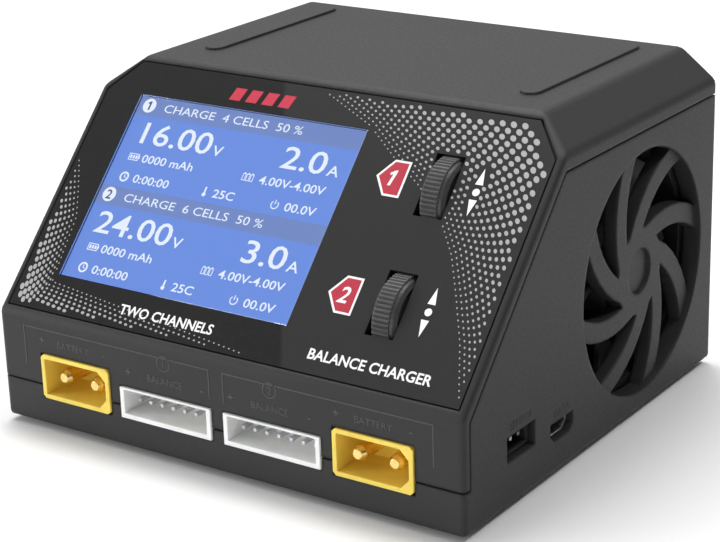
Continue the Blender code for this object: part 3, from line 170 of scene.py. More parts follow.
class Shader:
    """A Principled material and short ways to add nodes to it."""

    def __init__(self, name, colour, roughness, metallic=0.0):
        self.material = bpy.data.materials.new(name)
        self.material.use_nodes = True
        self.tree = self.material.node_tree
        self.shader = self.tree.nodes["Principled BSDF"]
        self.place = self.add("ShaderNodeTexCoord").outputs["Object"]
        self.colour = colour
        self.set("Base Color", (*colour, 1))
        self.set("Roughness", roughness)
        self.set("Metallic", metallic)

    def set(self, socket, value):
        self.shader.inputs[socket].default_value = value

    def add(self, kind, **values):
        node = self.tree.nodes.new(kind)
        for key, value in values.items():
            setattr(node, key, value)
        return node

    def link(self, source, target):
        self.tree.links.new(source, target)

    def noise(self, scale, detail=2.0, roughness=0.5, stretch=None):
        """Noise from 0 to 1 with scale features to the metre."""
        node = self.add("ShaderNodeTexNoise")
        node.inputs["Scale"].default_value = scale
        node.inputs["Detail"].default_value = detail
        node.inputs["Roughness"].default_value = roughness
        place = self.place
        if stretch:
            mapping = self.add("ShaderNodeMapping")
            mapping.inputs["Scale"].default_value = stretch
            self.link(place, mapping.inputs["Vector"])
            place = mapping.outputs["Vector"]
        self.link(place, node.inputs["Vector"])
        return node.outputs["Fac"]

    def spread(self, value, low, high, at=(0.3, 0.7)):
        """Maps a value's range at to low..high."""
        node = self.add("ShaderNodeMapRange")
        node.inputs["From Min"].default_value, node.inputs["From Max"].default_value = at
        node.inputs["To Min"].default_value, node.inputs["To Max"].default_value = low, high
        self.link(value, node.inputs["Value"])
        return node.outputs["Result"]

    def tint(self, value, dark, light, socket="Base Color"):
        """Shades the colour between two multiples of itself; returns the output that carries it."""
        node = self.add("ShaderNodeMix", data_type="RGBA")
        node.inputs["A"].default_value = (*[min(1, c * dark) for c in self.colour], 1)
        node.inputs["B"].default_value = (*[min(1, c * light) for c in self.colour], 1)
        self.link(value, node.inputs["Factor"])
        self.link(node.outputs["Result"], self.shader.inputs[socket])
        return node.outputs["Result"]

    def mottle(self, scale, dark, light, detail=3):
        """Shades the colour in soft patches; returns the output that carries it."""
        return self.tint(self.spread(self.noise(scale, detail), 0, 1), dark, light)

    def edges(self, colour_socket, radius, light, amount):
        """Paints light on edges: multiplies the colour by light near them, a painted highlight above 1
        and painted shade below 1; returns the rounded normal that finds them.
        """
        bevel = self.add("ShaderNodeBevel", samples=4)
        bevel.inputs["Radius"].default_value = radius
        true = self.add("ShaderNodeNewGeometry").outputs["Normal"]
        dot = self.add("ShaderNodeVectorMath", operation="DOT_PRODUCT")
        self.link(bevel.outputs["Normal"], dot.inputs[0])
        self.link(true, dot.inputs[1])
        mask = self.spread(dot.outputs["Value"], amount, 0.0, at=(0.80, 0.995))
        node = self.add("ShaderNodeMix", data_type="RGBA")
        node.inputs["B"].default_value = (*[min(1, c * light) for c in self.colour], 1)
        self.link(mask, node.inputs["Factor"])
        self.link(colour_socket, node.inputs["A"])
        self.link(node.outputs["Result"], self.shader.inputs["Base Color"])
        return bevel.outputs["Normal"]

    def vary_roughness(self, value, low, high):
        self.link(self.spread(value, low, high), self.shader.inputs["Roughness"])

    def bump(self, height, distance, strength, normal=None):
        node = self.add("ShaderNodeBump")
        node.inputs["Distance"].default_value = distance
        node.inputs["Strength"].default_value = strength
        self.link(height, node.inputs["Height"])
        if normal is not None:
            self.link(normal, node.inputs["Normal"])
        self.link(node.outputs["Normal"], self.shader.inputs["Normal"])


def moulded_plastic(name, colour, roughness, grain=0.005 * MM, painted_edge_light=1.7, reach=0.22 * MM):
    """Fine-textured plastic with faint mottling; within reach of an edge its colour is multiplied: a
    painted highlight above 1, painted shade below 1.
    """
    grain_scale = 3200
    mat = Shader(name, colour, roughness)
    mat.set("Specular IOR Level", 0.3)
    rounded = mat.edges(mat.mottle(60, dark=0.96, light=1.05), reach, painted_edge_light, amount=0.8)
    mat.vary_roughness(mat.noise(0.6 * grain_scale), roughness - 0.06, roughness + 0.08)
    mat.bump(mat.noise(grain_scale, roughness=0.6), grain, strength=0.8, normal=rounded)
    return mat.material


def gloss_nylon(name, colour, roughness):
    """Smooth injection-moulded nylon: slight waviness and a little light inside."""
    mat = Shader(name, colour, roughness)
    mat.set("Subsurface Weight", 0.35)
    mat.set("Subsurface Radius", (1.0, 0.8, 0.5))
    mat.set("Subsurface Scale", 1.2 * MM)
    # Painted highlight along the edges.
    rounded = mat.edges(mat.mottle(260, dark=0.93, light=1.05), 0.25 * MM, light=1.25, amount=0.6)
    mat.vary_roughness(mat.noise(900), roughness - 0.08, roughness + 0.08)
    mat.bump(mat.noise(700, detail=3), 0.012 * MM, strength=0.6, normal=rounded)
    return mat.material


def metal(name, colour, roughness, stretch=(1, 1, 1)):
    """Plated or drawn metal with fine lines along one direction."""
    mat = Shader(name, colour, roughness, metallic=1.0)
    lines = mat.noise(1500, detail=3, roughness=0.6, stretch=stretch)
    # Painted highlight along the edges.
    rounded = mat.edges(mat.mottle(220, dark=0.85, light=1.08), 0.15 * MM, light=1.2, amount=0.5)
    mat.vary_roughness(lines, roughness - 0.1, roughness + 0.14)
    mat.bump(lines, 0.006 * MM, strength=0.7, normal=rounded)
    return mat.material


def ribbed_rubber(name, colour):
    """Moulded rubber with a painted highlight along its ribs."""
    mat = Shader(name, colour, 0.4)
    mat.set("Specular IOR Level", 0.5)
    rounded = mat.edges(mat.mottle(500, dark=0.8, light=1.25, detail=4), 0.2 * MM, light=2.2, amount=0.8)
    mat.vary_roughness(mat.noise(1800, detail=3), 0.3, 0.5)
    mat.bump(mat.noise(3000), 0.01 * MM, strength=0.8, normal=rounded)
    return mat.material


def overlay_film():
    """A printed film: near black to the left of a slanting boundary, dark grey to its right."""
    slant = 0.62                                        # how far the boundary leans for each unit up
    boundary = (26.8 * MM, 27.6 * MM)                   # where the shade starts and ends to change
    mat = Shader("overlay_film", (0.022, 0.022, 0.0223), 0.42)
    mat.set("Specular IOR Level", 0.2)
    split = mat.add("ShaderNodeSeparateXYZ")
    mat.link(mat.place, split.inputs["Vector"])
    lean = mat.add("ShaderNodeMath", operation="MULTIPLY_ADD")
    lean.inputs[1].default_value = slant
    mat.link(split.outputs["Z"], lean.inputs[0])
    mat.link(split.outputs["X"], lean.inputs[2])
    share = mat.spread(lean.outputs["Value"], 0, 1, at=boundary)
    # Painted highlight along the film's edges.
    mat.edges(mat.tint(share, dark=0.42, light=1.0), 0.15 * MM, light=1.8, amount=0.5)
    mat.vary_roughness(mat.noise(1500), 0.34, 0.48)
    mat.bump(mat.noise(3500), 0.004 * MM, strength=0.6)
    return mat.material


def clear_film():
    mat = Shader("clear_film", (1, 1, 1), 0.01)
    mat.set("Transmission Weight", 1.0)
    mat.set("IOR", 1.25)
    mat.vary_roughness(mat.noise(300), 0.0, 0.02)
    return mat.material


def lit(name, colour):
    """A lit display surface with a fine grid of cells; its glow comes through a dark face."""
    mat = Shader(name, colour, 0.35)
    mat.set("Specular IOR Level", 0.2)
    cells = mat.add("ShaderNodeTexChecker")
    cells.inputs["Scale"].default_value = 5200
    mat.link(mat.place, cells.inputs["Vector"])
    mat.tint(cells.outputs["Fac"], dark=0.96, light=1.0, socket="Emission Color")
    mat.set("Base Color", (0.01, 0.01, 0.012, 1))
    mat.set("Emission Strength", 1.0)
    return mat.material


def print_ink(name, colour, roughness=0.45):
    mat = Shader(name, colour, roughness)
    mat.mottle(1200, dark=0.93, light=1.0)
    mat.vary_roughness(mat.noise(2500), roughness - 0.06, roughness + 0.06)
    mat.bump(mat.noise(4000), 0.003 * MM, strength=0.5)
    return mat.material


def circuit_board():
    """Green solder mask over copper tracks."""
    mat = Shader("solder_mask", (0.008, 0.12, 0.04), 0.32)
    tracks = mat.add("ShaderNodeTexVoronoi", feature="DISTANCE_TO_EDGE")
    tracks.inputs["Scale"].default_value = 260
    mat.link(mat.place, tracks.inputs["Vector"])
    mask = mat.spread(tracks.outputs["Distance"], 1, 0, at=(0.03, 0.07))
    mat.tint(mask, dark=1.0, light=2.1)
    mat.vary_roughness(mat.noise(700), 0.25, 0.42)
    mat.bump(mask, 0.03 * MM, strength=0.8)
    return mat.material


def floor_material():
    mat = Shader("floor", (0.86, 0.86, 0.86), 0.7)
    mat.mottle(6, dark=0.99, light=1.0)
    mat.bump(mat.noise(400), 0.02 * MM, strength=0.2)
    return mat.material


SLOT_MATERIALS = {
    # Edges darkened to 0.3 of the colour: painted shade along the rounded edges.
    "case_plastic": moulded_plastic("case_plastic", (0.024, 0.024, 0.0244), 0.5, painted_edge_light=0.3,
                                    reach=0.8 * MM),
    "panel_plastic": moulded_plastic("panel_plastic", (0.038, 0.038, 0.0385), 0.42),
    "overlay_sheet": overlay_film(),
    "clear_window": clear_film(),
    "lcd_glass": print_ink("lcd_body", (0.02, 0.03, 0.06), 0.25),
    "circuit_board": circuit_board(),
    "wheel_rubber": ribbed_rubber("wheel_rubber", (0.042, 0.042, 0.043)),
    "steel": metal("steel", (0.6, 0.6, 0.62), 0.32, (1, 1, 6)),
    "dark_plastic": moulded_plastic("dark_plastic", (0.014, 0.014, 0.0145), 0.42),
    "socket_yellow": gloss_nylon("yellow_nylon", (0.93, 0.68, 0.11), 0.36),
    "gold_pin": metal("gold_plate", (0.9, 0.66, 0.25), 0.24, (1, 8, 1)),
    "socket_white": gloss_nylon("white_nylon", (0.92, 0.92, 0.9), 0.4),
    "copper": metal("copper", (0.72, 0.34, 0.15), 0.35),
    "aluminium": metal("aluminium", (0.72, 0.73, 0.75), 0.36, (1, 9, 1)),
    "ferrite": moulded_plastic("ferrite", (0.09, 0.085, 0.08), 0.7, 0.02 * MM),
    "can_sleeve": gloss_nylon("can_sleeve", (0.03, 0.05, 0.16), 0.35),
    "foot_rubber": ribbed_rubber("foot_rubber", (0.012, 0.012, 0.012)),
    "ribbon": gloss_nylon("lead_cover", (0.5, 0.24, 0.03), 0.45),
}


def dress_cad_nodes():
    slots = {part["node"]: part["material_slot"] for part in frame["record"]["subparts"]}
    for name, node in nodes.items():
        for slot in node.material_slots:
            slot.material = SLOT_MATERIALS[slots[name]]


# ---------------------------------------------------------------- drawing flat shapes

# A one with its flag, as shares of its height: across from its middle, and up
FLAGGED_ONE = [(-0.02, 0), (0.17, 0), (0.17, 1), (0.02, 1), (-0.26, 0.8), (-0.18, 0.66), (-0.02, 0.75)]
FONT_SIZE = 1.42                    # of a figure, as a share of its height
SHARPEST_MITRE = 0.3


class Sheet:
    """Thin raised shapes drawn on a face: what ink or a lit display would show there."""

    def __init__(self, name, place, height=0.0, thickness=INK):
        self.name, self.place = name, place
        self.low, self.high = height, height + thickness
        self.bm = bmesh.new()

    def shape(self, points):
        low = [self.bm.verts.new((x, y, self.low)) for x, y in points]
        high = [self.bm.verts.new((x, y, self.high)) for x, y in points]
        self.bm.faces.new(high)
        self.bm.faces.new(low[::-1])
        for a, b, c, d in zip(low, low[1:] + low[:1], high[1:] + high[:1], high):
            self.bm.faces.new((a, b, c, d))

    def box(self, x0, y0, x1, y1):
        self.shape([(x0, y0), (x1, y0), (x1, y1), (x0, y1)])

    def outline(self, x0, y0, x1, y1, width):
        self.line([(x0, y0), (x1, y0), (x1, y1), (x0, y1), (x0, y0)], width)

    def ellipse(self, x, y, along, across, turn=0.0, sides=12):
        points = []
        for side in range(sides):
            angle = 2 * math.pi * side / sides
            a, b = along * math.cos(angle), across * math.sin(angle)
            points.append((x + a * math.cos(turn) - b * math.sin(turn),
                           y + a * math.sin(turn) + b * math.cos(turn)))
        self.shape(points)

    def line(self, points, width):
        """A stroke of even width along points, with mitred corners; closed where its ends meet."""
        closed = points[0] == points[-1]
        route = [Vector(p) for p in (points[:-1] if closed else points)]
        count = len(route)
        left, right = [], []
        for i, point in enumerate(route):
            before = route[i - 1] if (closed or i) else None
            after = route[(i + 1) % count] if (closed or i < count - 1) else None
            sides = [(b - a).normalized() for a, b in ((before, point), (point, after))
                     if a is not None and b is not None]
            normals = [Vector((-s.y, s.x)) for s in sides]
            mitre = sum(normals, Vector((0, 0))).normalized()
            offset = mitre * (width / 2 / max(SHARPEST_MITRE, mitre.dot(normals[0])))
            left.append(point + offset)
            right.append(point - offset)
        for i in range(count if closed else count - 1):
            j = (i + 1) % count
            self.shape([tuple(right[i]), tuple(right[j]), tuple(left[j]), tuple(left[i])])

    def ring(self, x, y, radius, width, sides=28):
        points = [(x + radius * math.cos(2 * math.pi * i / sides),
                   y + radius * math.sin(2 * math.pi * i / sides)) for i in range(sides)]
        self.line([*points, points[0]], width)

    def text(self, words, x, y, size, align="LEFT", bold=0.0, lean=0.0, stretch=1.0):
        """Generic lettering, in Blender's own font."""
        curve = bpy.data.curves.new("text", "FONT")
        curve.body = words
        curve.size = size
        curve.align_x = align
        curve.shear = lean
        curve.offset = bold
        curve.resolution_u = 3
        curve.extrude = (self.high - self.low) / 2
        holder = bpy.data.objects.new("text", curve)
        bpy.context.scene.collection.objects.link(holder)
        mesh = bpy.data.meshes.new_from_object(
            holder.evaluated_get(bpy.context.evaluated_depsgraph_get()))
        bpy.data.objects.remove(holder)
        bpy.data.curves.remove(curve)
        shift = Matrix.Translation((x, y, (self.low + self.high) / 2))
        mesh.transform(shift @ Matrix.Diagonal((stretch, 1, 1, 1)))
        self.bm.from_mesh(mesh)
        bpy.data.meshes.remove(mesh)

    def figure(self, channel, x, y, height, lean=0.0):
        """The channel's number; a one gets the flag that Blender's font leaves out."""
        if channel != 1:
            self.text(str(channel), x, y, height * FONT_SIZE, "CENTER", bold=0.02 * height, lean=lean)
            return
        self.shape([(x + (across + lean * (up - 0.5)) * height, y + up * height)
                    for across, up in FLAGGED_ONE])

    def finish(self, material, slot, body="case"):
        bmesh.ops.remove_doubles(self.bm, verts=self.bm.verts, dist=1e-8)
        mesh = bpy.data.meshes.new(self.name)
        self.bm.to_mesh(mesh)
        self.bm.free()
        piece = bpy.data.objects.new(self.name, mesh)
        piece.matrix_world = self.place
        bpy.context.scene.collection.objects.link(piece)
        mesh.materials.append(material)
        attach(piece, body)


# ---------------------------------------------------------------- screen

SCREEN_PLACE = SLOPE @ Matrix.Translation((SCREEN_MIDDLE[0] - SCREEN_SIZE[0] / 2,
                                           SCREEN_MIDDLE[1] - SCREEN_SIZE[1] / 2, 0))
SCREEN_LEVEL = -0.69 * MM           # of the lit image behind the window
LAYER = 0.02 * MM                   # thickness of each layer of the image
GROUND_MARGIN = 0.12 * MM
BAND_MARGIN = 0.14 * MM
CHANNEL_DROP = 18.4 * MM            # from one channel's readings to the other's

# Levels below the top of a channel's readings
BAND_END = 4.0 * MM
DISC_LEVEL = 1.95 * MM
HEAD_BASE = 2.8 * MM
LARGE_BASE = 9.5 * MM
ROW_LEVELS = (12.4 * MM, 16.5 * MM)

DISC_X, DISC_RADIUS = 2.6 * MM, 1.45 * MM
DIGIT_HEIGHT = 1.8 * MM
HEAD_X = 6.1 * MM
VOLTS_X, AMPS_X = 20 * MM, 45 * MM  # right ends of the large readings
UNIT_GAP = 0.5 * MM
SMALL_SIZE, UNIT_SIZE, LARGE_SIZE = 2.3 * MM, 2.9 * MM, 6.1 * MM
SMALL_BASE = 0.8 * MM               # of the words below the middle of their icon


def battery_icon(sheet, x, y):
    width, half, rim = 2.1 * MM, 0.62 * MM, 0.16 * MM
    cap = 0.3 * MM
    bar_start, bar_pitch, bar_width, bar_half = 0.25 * MM, 0.6 * MM, 0.4 * MM, 0.34 * MM
    sheet.outline(x, y - half, x + width, y + half, rim)
    sheet.box(x + width, y - cap, x + width + cap, y + cap)
    for bar in range(3):
        left = x + bar_start + bar * bar_pitch
        sheet.box(left, y - bar_half, left + bar_width, y + bar_half)


def cells_icon(sheet, x, y):
    pitch, width, rim = 0.85 * MM, 0.6 * MM, 0.14 * MM
    low, high = y - 0.65 * MM, y + 0.6 * MM
    inset, cap_low, cap_high = 0.15 * MM, y + 0.66 * MM, y + 0.86 * MM
    for cell in range(3):
        left = x + cell * pitch
        sheet.outline(left, low, left + width, high, rim)
        sheet.box(left + inset, cap_low, left + width - inset, cap_high)


def clock_icon(sheet, x, y):
    sheet.ring(x, y, 0.85 * MM, 0.34 * MM)
    hands = [(x, y + 0.55 * MM), (x, y), (x + 0.45 * MM, y - 0.2 * MM)]
    sheet.line(hands, 0.17 * MM)


def thermometer_icon(sheet, x, y):
    bulb, half = 0.4 * MM, 0.17 * MM
    sheet.ellipse(x, y - 0.55 * MM, bulb, bulb)
    sheet.box(x - half, y - 0.4 * MM, x + half, y + 0.95 * MM)


def power_icon(sheet, x, y):
    radius, width = 0.75 * MM, 0.2 * MM
    arc = [(x + radius * math.sin(a * DEGREE), y + radius * math.cos(a * DEGREE))
           for a in range(40, 321, 20)]
    sheet.line(arc, width)
    sheet.box(x - width / 2, y + 0.1 * MM, x + width / 2, y + 0.95 * MM)


READINGS = {
    1: {"head": "CHARGE  4 CELLS  50 %", "volts": "16.00", "amps": "2.0"},
    2: {"head": "CHARGE  6 CELLS  50 %", "volts": "24.00", "amps": "3.0"},
}
SMALL_READINGS = (                  # words, icon, row, and where the icon and the words start
    ("0000 mAh", battery_icon, 0, 3.2 * MM, 6.2 * MM),
    ("4.00V-4.00V", cells_icon, 0, 29 * MM, 32.7 * MM),
    ("0:00:00", clock_icon, 1, 4.1 * MM, 6.2 * MM),
    ("25C", thermometer_icon, 1, 22.6 * MM, 24.4 * MM),
    ("00.0V", power_icon, 1, 37.9 * MM, 40.0 * MM),
)


def add_readings(ink, words, top):
    """One channel's pale words and icons, below the height top of the screen."""
    ink.text(words["head"], HEAD_X, top - HEAD_BASE, SMALL_SIZE, stretch=1.3)
    base = top - LARGE_BASE
    for reading, unit, right in ((words["volts"], "V", VOLTS_X), (words["amps"], "A", AMPS_X)):
        ink.text(reading, right, base, LARGE_SIZE, "RIGHT", bold=0.04 * MM, stretch=1.3)
        ink.text(unit, right + UNIT_GAP, base, UNIT_SIZE, bold=0.02 * MM, stretch=1.2)
    for small_words, icon, row, icon_x, words_x in SMALL_READINGS:
        level = top - ROW_LEVELS[row]
        icon(ink, icon_x, level)
        ink.text(small_words, words_x, level - SMALL_BASE, SMALL_SIZE, bold=0.02 * MM, stretch=1.22)


def add_screen():
    """A lit screen: a blue ground, a band over each channel, and pale generic readings."""
    width, height = SCREEN_SIZE
    ground = Sheet("screen_ground", SCREEN_PLACE, SCREEN_LEVEL, LAYER)
    ground.box(GROUND_MARGIN, GROUND_MARGIN, width - GROUND_MARGIN, height - GROUND_MARGIN)
    bands = Sheet("screen_bands", SCREEN_PLACE, SCREEN_LEVEL + LAYER, LAYER)
    ink = Sheet("screen_readings", SCREEN_PLACE, SCREEN_LEVEL + 2 * LAYER, LAYER)
    discs = Sheet("screen_discs", SCREEN_PLACE, SCREEN_LEVEL + 2 * LAYER, LAYER)
    digits = Sheet("screen_digits", SCREEN_PLACE, SCREEN_LEVEL + 3 * LAYER, LAYER)
    for channel, words in READINGS.items():
        top = height - (channel - 1) * CHANNEL_DROP
        bands.box(BAND_MARGIN, top - BAND_END, width - BAND_MARGIN, top - BAND_MARGIN)
        discs.ellipse(DISC_X, top - DISC_LEVEL, DISC_RADIUS, DISC_RADIUS, sides=32)
        digits.figure(channel, DISC_X, top - DISC_LEVEL - DIGIT_HEIGHT / 2, DIGIT_HEIGHT)
        add_readings(ink, words, top)
    pale = lit("screen_pale", (0.8, 0.88, 1.0))
    for sheet, material in ((ground, lit("screen_blue", (0.13, 0.26, 0.75))),
                            (bands, lit("screen_band", (0.15, 0.235, 0.55))), (ink, pale), (discs, pale),
                            (digits, lit("screen_digit", (0.02, 0.05, 0.2)))):
        sheet.finish(material, "lcd_glass")


# ---------------------------------------------------------------- print on the slope

# The curved edges of the two dot fields, in millimetres across and up the slope
UPPER_CURVE = [(-5.2, 52.7), (10.4, 45.9), (17.3, 40.9), (24.1, 36.6), (30.4, 31.6), (34.8, 25.9),
               (38.5, 19.1), (42.3, 11.6), (46.0, 2.2)]
LOWER_CURVE = [(-47.8, 35.3), (-45.3, 30.9), (-42.8, 25.9), (-40.3, 20.3), (-39.6, 8.1), (-17.8, 5.9),
               (7.3, 3.1), (17.3, 1.9)]
# Each field's edge, the side of it with the dots, its rows, and the row where dots reach full size
DOT_FIELDS = ((UPPER_CURVE, 1, 22, 17), (LOWER_CURVE, -1, 11, 10))
DOT_PITCH = 1.12 * MM               # beside the curve
DOT_SPREAD = 0.05 * MM              # how much the pitch grows from one row to the next
DOT_RADIUS = (0.17 * MM, 0.7 * MM)  # beside the curve and at full size
DOT_FLATNESS = 0.72                 # of a dot's height to its width
DOT_INSET = 0.7                     # from the overlay's edge to a dot's middle, in dot radii
ROW_STEP = 0.7                      # from row to row, as a share of the pitch
FIELD_GAP = 0.3 * DOT_PITCH         # from the curve to where the rows start to be counted

TAG_TIP, TAG_SHOULDER, TAG_EDGE = 16.6 * MM, 18.8 * MM, 21.5 * MM
TAG_HALF = 3.0 * MM                 # half a tag's height
TAG_RIM = 0.4 * MM
TAG_DIGIT = 2.9 * MM
TAG_DIGIT_X = TAG_SHOULDER + 0.4 * MM
ARROW_ACROSS = 35.7 * MM
ARROW_START, ARROW_TIP = 1.4 * MM, 4.4 * MM         # from the middle of the wheel
ARROW_HALF = 0.75 * MM              # half an arrow's width
ARROW_DOT = 0.68 * MM
WORD_SIZE = 2.6 * MM
WORDS = (("BALANCE CHARGER", 29 * MM, 4.1 * MM), ("TWO CHANNELS", -13 * MM, 4.2 * MM))

EMBLEM_BARS = 4
EMBLEM_START, EMBLEM_PITCH = -20 * MM, 3.6 * MM
EMBLEM_LOW, EMBLEM_HIGH = 47.6 * MM, 50.1 * MM
EMBLEM_WIDTH, EMBLEM_LEAN = 2.4 * MM, 0.7 * MM

OVERLAY_MARGIN = 2.1 * MM           # of the print from the case's sides and the slope's ends
OVERLAY_CORNER = (5.2 * MM, 6.6 * MM)
# What is kept clear of dots: middles, and half sizes across and up
SCREEN_CLEAR = (26 * MM, 19.4 * MM)
BESIDE_WHEEL_CLEAR = ((WHEEL_ACROSS, (3.1 * MM, 6.1 * MM)), (19.05 * MM, (3.25 * MM, 3.6 * MM)),
                      (ARROW_ACROSS, (1.0 * MM, 5.0 * MM)))


def on_overlay(x, u, margin):
    """True where a point is on the overlay, at least margin inside its edge."""
    reach = WIDTH / 2 - OVERLAY_MARGIN - margin
    top = SLOPE_LENGTH - OVERLAY_MARGIN - margin
    corner_x, corner_u = OVERLAY_CORNER
    past_corner = (abs(x) - reach + corner_x) / corner_x + (u - top) / corner_u
    return abs(x) < reach and OVERLAY_MARGIN + margin < u < top and past_corner < 0


def within(x, u, middle, half_size):
    return abs(x - middle[0]) < half_size[0] and abs(u - middle[1]) < half_size[1]


def kept_clear(x, u):
    """True where the screen, a wheel, a tag or an arrow leaves no place for dots."""
    return within(x, u, SCREEN_MIDDLE, SCREEN_CLEAR) or any(
        within(x, u, (across, wheel_up), half_size)
        for wheel_up in WHEELS_UP for across, half_size in BESIDE_WHEEL_CLEAR)


def beside(curve, offset):
    """The points of a curve moved sideways by offset."""
    line = []
    for before, point, after in zip(curve[:1] + curve, curve, curve[1:] + curve[-1:]):
        along = (after - before).normalized()
        line.append(point + offset * Vector((-along.y, along.x)))
    return line


def add_dots():
    """Two fields of pale dots, in rows that follow a curve and grow away from it."""
    sheet = Sheet("overlay_dots", SLOPE)
    smallest, largest = DOT_RADIUS
    for points, side, rows, full_row in DOT_FIELDS:
        curve = [Vector(point) * MM for point in points]
        offset = FIELD_GAP
        for row in range(rows):
            pitch = DOT_PITCH + DOT_SPREAD * row
            offset += ROW_STEP * pitch
            radius = smallest + (largest - smallest) * min(1, row / full_row)
            line = beside(curve, side * offset)
            distance = pitch * (row % 2) / 2
            for a, b in zip(line, line[1:]):
                length = (b - a).length
                heading = math.atan2(b.y - a.y, b.x - a.x)
                while distance < length:
                    x, u = a.lerp(b, distance / length)
                    if on_overlay(x, u, DOT_INSET * radius) and not kept_clear(x, u):
                        sheet.ellipse(x, u, radius, DOT_FLATNESS * radius, heading)
                    distance += pitch
                distance -= length
    sheet.finish(print_ink("dot_ink", (0.37, 0.37, 0.37)), "overlay_sheet")


def tag_outline(middle, grow):
    """A tag that points left, with its middle at a height up the slope and widened by grow."""
    tip, shoulder, edge = TAG_TIP - 1.3 * grow, TAG_SHOULDER - 0.5 * grow, TAG_EDGE + grow
    low, high = middle - TAG_HALF - grow, middle + TAG_HALF + grow
    return [(tip, middle), (shoulder, low), (edge, low), (edge, high), (shoulder, high)]


def add_marks():
    """The tags that number the two channels, the arrows beside the wheels and small generic words."""
    rims = Sheet("tag_rims", SLOPE)
    tags = Sheet("channel_tags", SLOPE, INK)
    figures = Sheet("tag_figures", SLOPE, 2 * INK)
    arrows = Sheet("wheel_arrows", SLOPE)
    words = Sheet("overlay_words", SLOPE)
    for channel, middle in enumerate(WHEELS_UP, 1):
        rims.shape(tag_outline(middle, TAG_RIM))
        tags.shape(tag_outline(middle, 0))
        figures.figure(channel, TAG_DIGIT_X, middle - TAG_DIGIT / 2, TAG_DIGIT, lean=0.2)
        for way in (-1, 1):
            base, tip = middle + way * ARROW_START, middle + way * ARROW_TIP
            half = way * ARROW_HALF
            arrows.shape([(ARROW_ACROSS, tip), (ARROW_ACROSS - half, base), (ARROW_ACROSS + half, base)])
        arrows.ellipse(ARROW_ACROSS, middle, ARROW_DOT, ARROW_DOT, sides=20)
    for word, x, u in WORDS:
        words.text(word, x, u, WORD_SIZE, "CENTER", bold=0.05 * MM)
    white = print_ink("white_ink", (0.86, 0.86, 0.86))
    for sheet in (rims, figures, arrows, words):
        sheet.finish(white, "overlay_sheet")
    tags.finish(print_ink("tag_red", (0.44, 0.025, 0.05), 0.35), "overlay_sheet")


def add_emblem():
    """A row of leaning bars above the screen."""
    sheet = Sheet("overlay_emblem", SLOPE)
    for bar in range(EMBLEM_BARS):
        left = EMBLEM_START + bar * EMBLEM_PITCH
        right = left + EMBLEM_WIDTH
        sheet.shape([(left, EMBLEM_LOW), (right, EMBLEM_LOW), (right + EMBLEM_LEAN, EMBLEM_HIGH),
                     (left + EMBLEM_LEAN, EMBLEM_HIGH)])
    sheet.finish(print_ink("emblem_red", (0.5, 0.03, 0.06), 0.35), "overlay_sheet")


# ---------------------------------------------------------------- marks on the front face

RAISED = 0.05 * MM                  # height of the marks
FINE_LINE = 0.2 * MM
BRACKET_OUTER, BRACKET_INNER = 43.3 * MM, 1.5 * MM  # from the case's middle
BRACKET_TOP, OUTER_END, INNER_END = 18.5 * MM, 11.2 * MM, 13.1 * MM
RING_X, RING_Z, RING_RADIUS = 11.3 * MM, 17.5 * MM, 1.35 * MM
# Each socket's caption, its middle across and its base, and how far from its middle the signs stand
CAPTIONS = (("BATTERY", 31.9 * MM, 15.6 * MM, 7.2 * MM), ("BALANCE", 11.2 * MM, 13.6 * MM, 8.1 * MM))
CAPTION_SIZE, RING_DIGIT_SIZE, SIGN_SIZE = 1.8 * MM, 2.0 * MM, 2.6 * MM


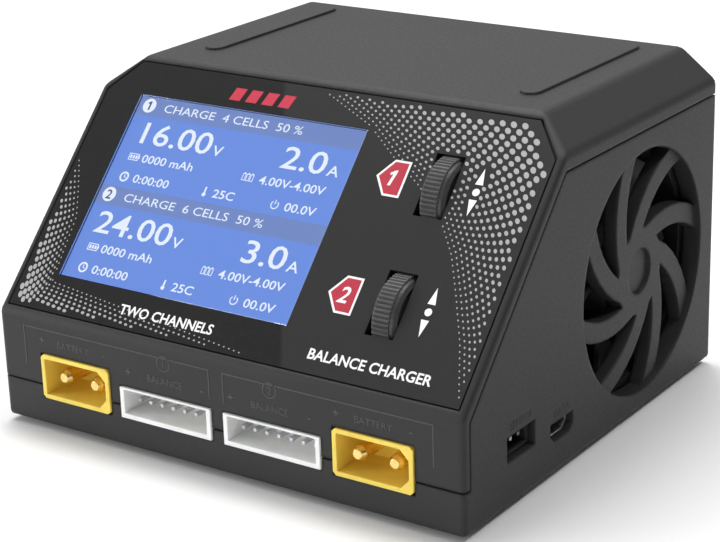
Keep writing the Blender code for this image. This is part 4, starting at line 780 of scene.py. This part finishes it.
def add_front_marks():
    """Fine raised brackets that tie each channel's sockets together, and signs above the sockets."""
    sheet = Sheet("front_marks", FRONT_FACE, 0, RAISED)
    for side, digit in ((-1, "1"), (1, "2")):
        outer, inner, ring_x = side * BRACKET_OUTER, side * BRACKET_INNER, side * RING_X
        sheet.line([(outer, OUTER_END), (outer, BRACKET_TOP), (inner, BRACKET_TOP), (inner, INNER_END)],
                   FINE_LINE)
        sheet.ring(ring_x, RING_Z, RING_RADIUS, FINE_LINE)
        sheet.text(digit, ring_x, RING_Z - 0.72 * MM, RING_DIGIT_SIZE, "CENTER")
        for words, middle, base, reach in CAPTIONS:
            x = side * middle
            sheet.text(words, x, base, CAPTION_SIZE, "CENTER")
            sheet.text("+", x - reach, base, SIGN_SIZE, "CENTER")
            sheet.text("-", x + reach, base, SIGN_SIZE, "CENTER")
    # Lighter than the case: painted highlight in place of the light that falls on the raised marks.
    sheet.finish(moulded_plastic("raised_marks", (0.085, 0.085, 0.086), 0.5), "case_plastic")


# ---------------------------------------------------------------- marks on the side and the back

def caption(sheet, words, x, y, size):
    sheet.text(words, x, y, size, "CENTER", bold=0.02 * MM)


def over(node, turned):
    """Middle of a node's top edge as seen on the right face, or on the back face if turned."""
    low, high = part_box(node)
    across = -(low.x + high.x) / 2 if turned else (low.y + high.y) / 2
    return across, high.z - UNDERSIDE


def add_side_marks():
    """Small raised captions over the openings in the right side."""
    sheet = Sheet("side_marks", RIGHT_FACE, 0, 0.02 * MM)
    for node, words in (("sensor_socket", "SENSOR"), ("data_socket", "DATA")):
        x, y = over(node, False)
        caption(sheet, words, x, y + 1.2 * MM, 2.0 * MM)
    # Darker than the case: painted shade in place of the shade on the raised captions.
    sheet.finish(moulded_plastic("raised_captions", (0.012, 0.012, 0.0122), 0.5), "case_plastic")


def add_back_marks():
    """Printed captions over the back sockets, and signs beside the supply socket."""
    panel_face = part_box("rear_panel")[1].y
    place = Matrix.Translation((0, panel_face - BACK_FACE.translation.y, 0)) @ BACK_FACE
    sheet = Sheet("rear_marks", place)
    for node, words in (("mains_inlet", "AC IN"), ("supply_socket", "DC IN")):
        x, y = over(node, True)
        caption(sheet, words, x, y + 1.6 * MM, 2.6 * MM)
    low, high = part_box("supply_socket")
    base = (low.z + high.z) / 2 - UNDERSIDE - 1 * MM
    sign_gap = 2.4 * MM
    for sign, x in (("+", -high.x - sign_gap), ("-", -low.x + sign_gap)):
        caption(sheet, sign, x, base, 3.0 * MM)
    sheet.finish(print_ink("rear_ink", (0.5, 0.5, 0.5)), "panel_plastic")


add_camera()
add_sky()
add_lights()
add_floor()
dress_cad_nodes()
add_screen()
add_dots()
add_marks()
add_emblem()
add_front_marks()
add_side_marks()
add_back_marks()
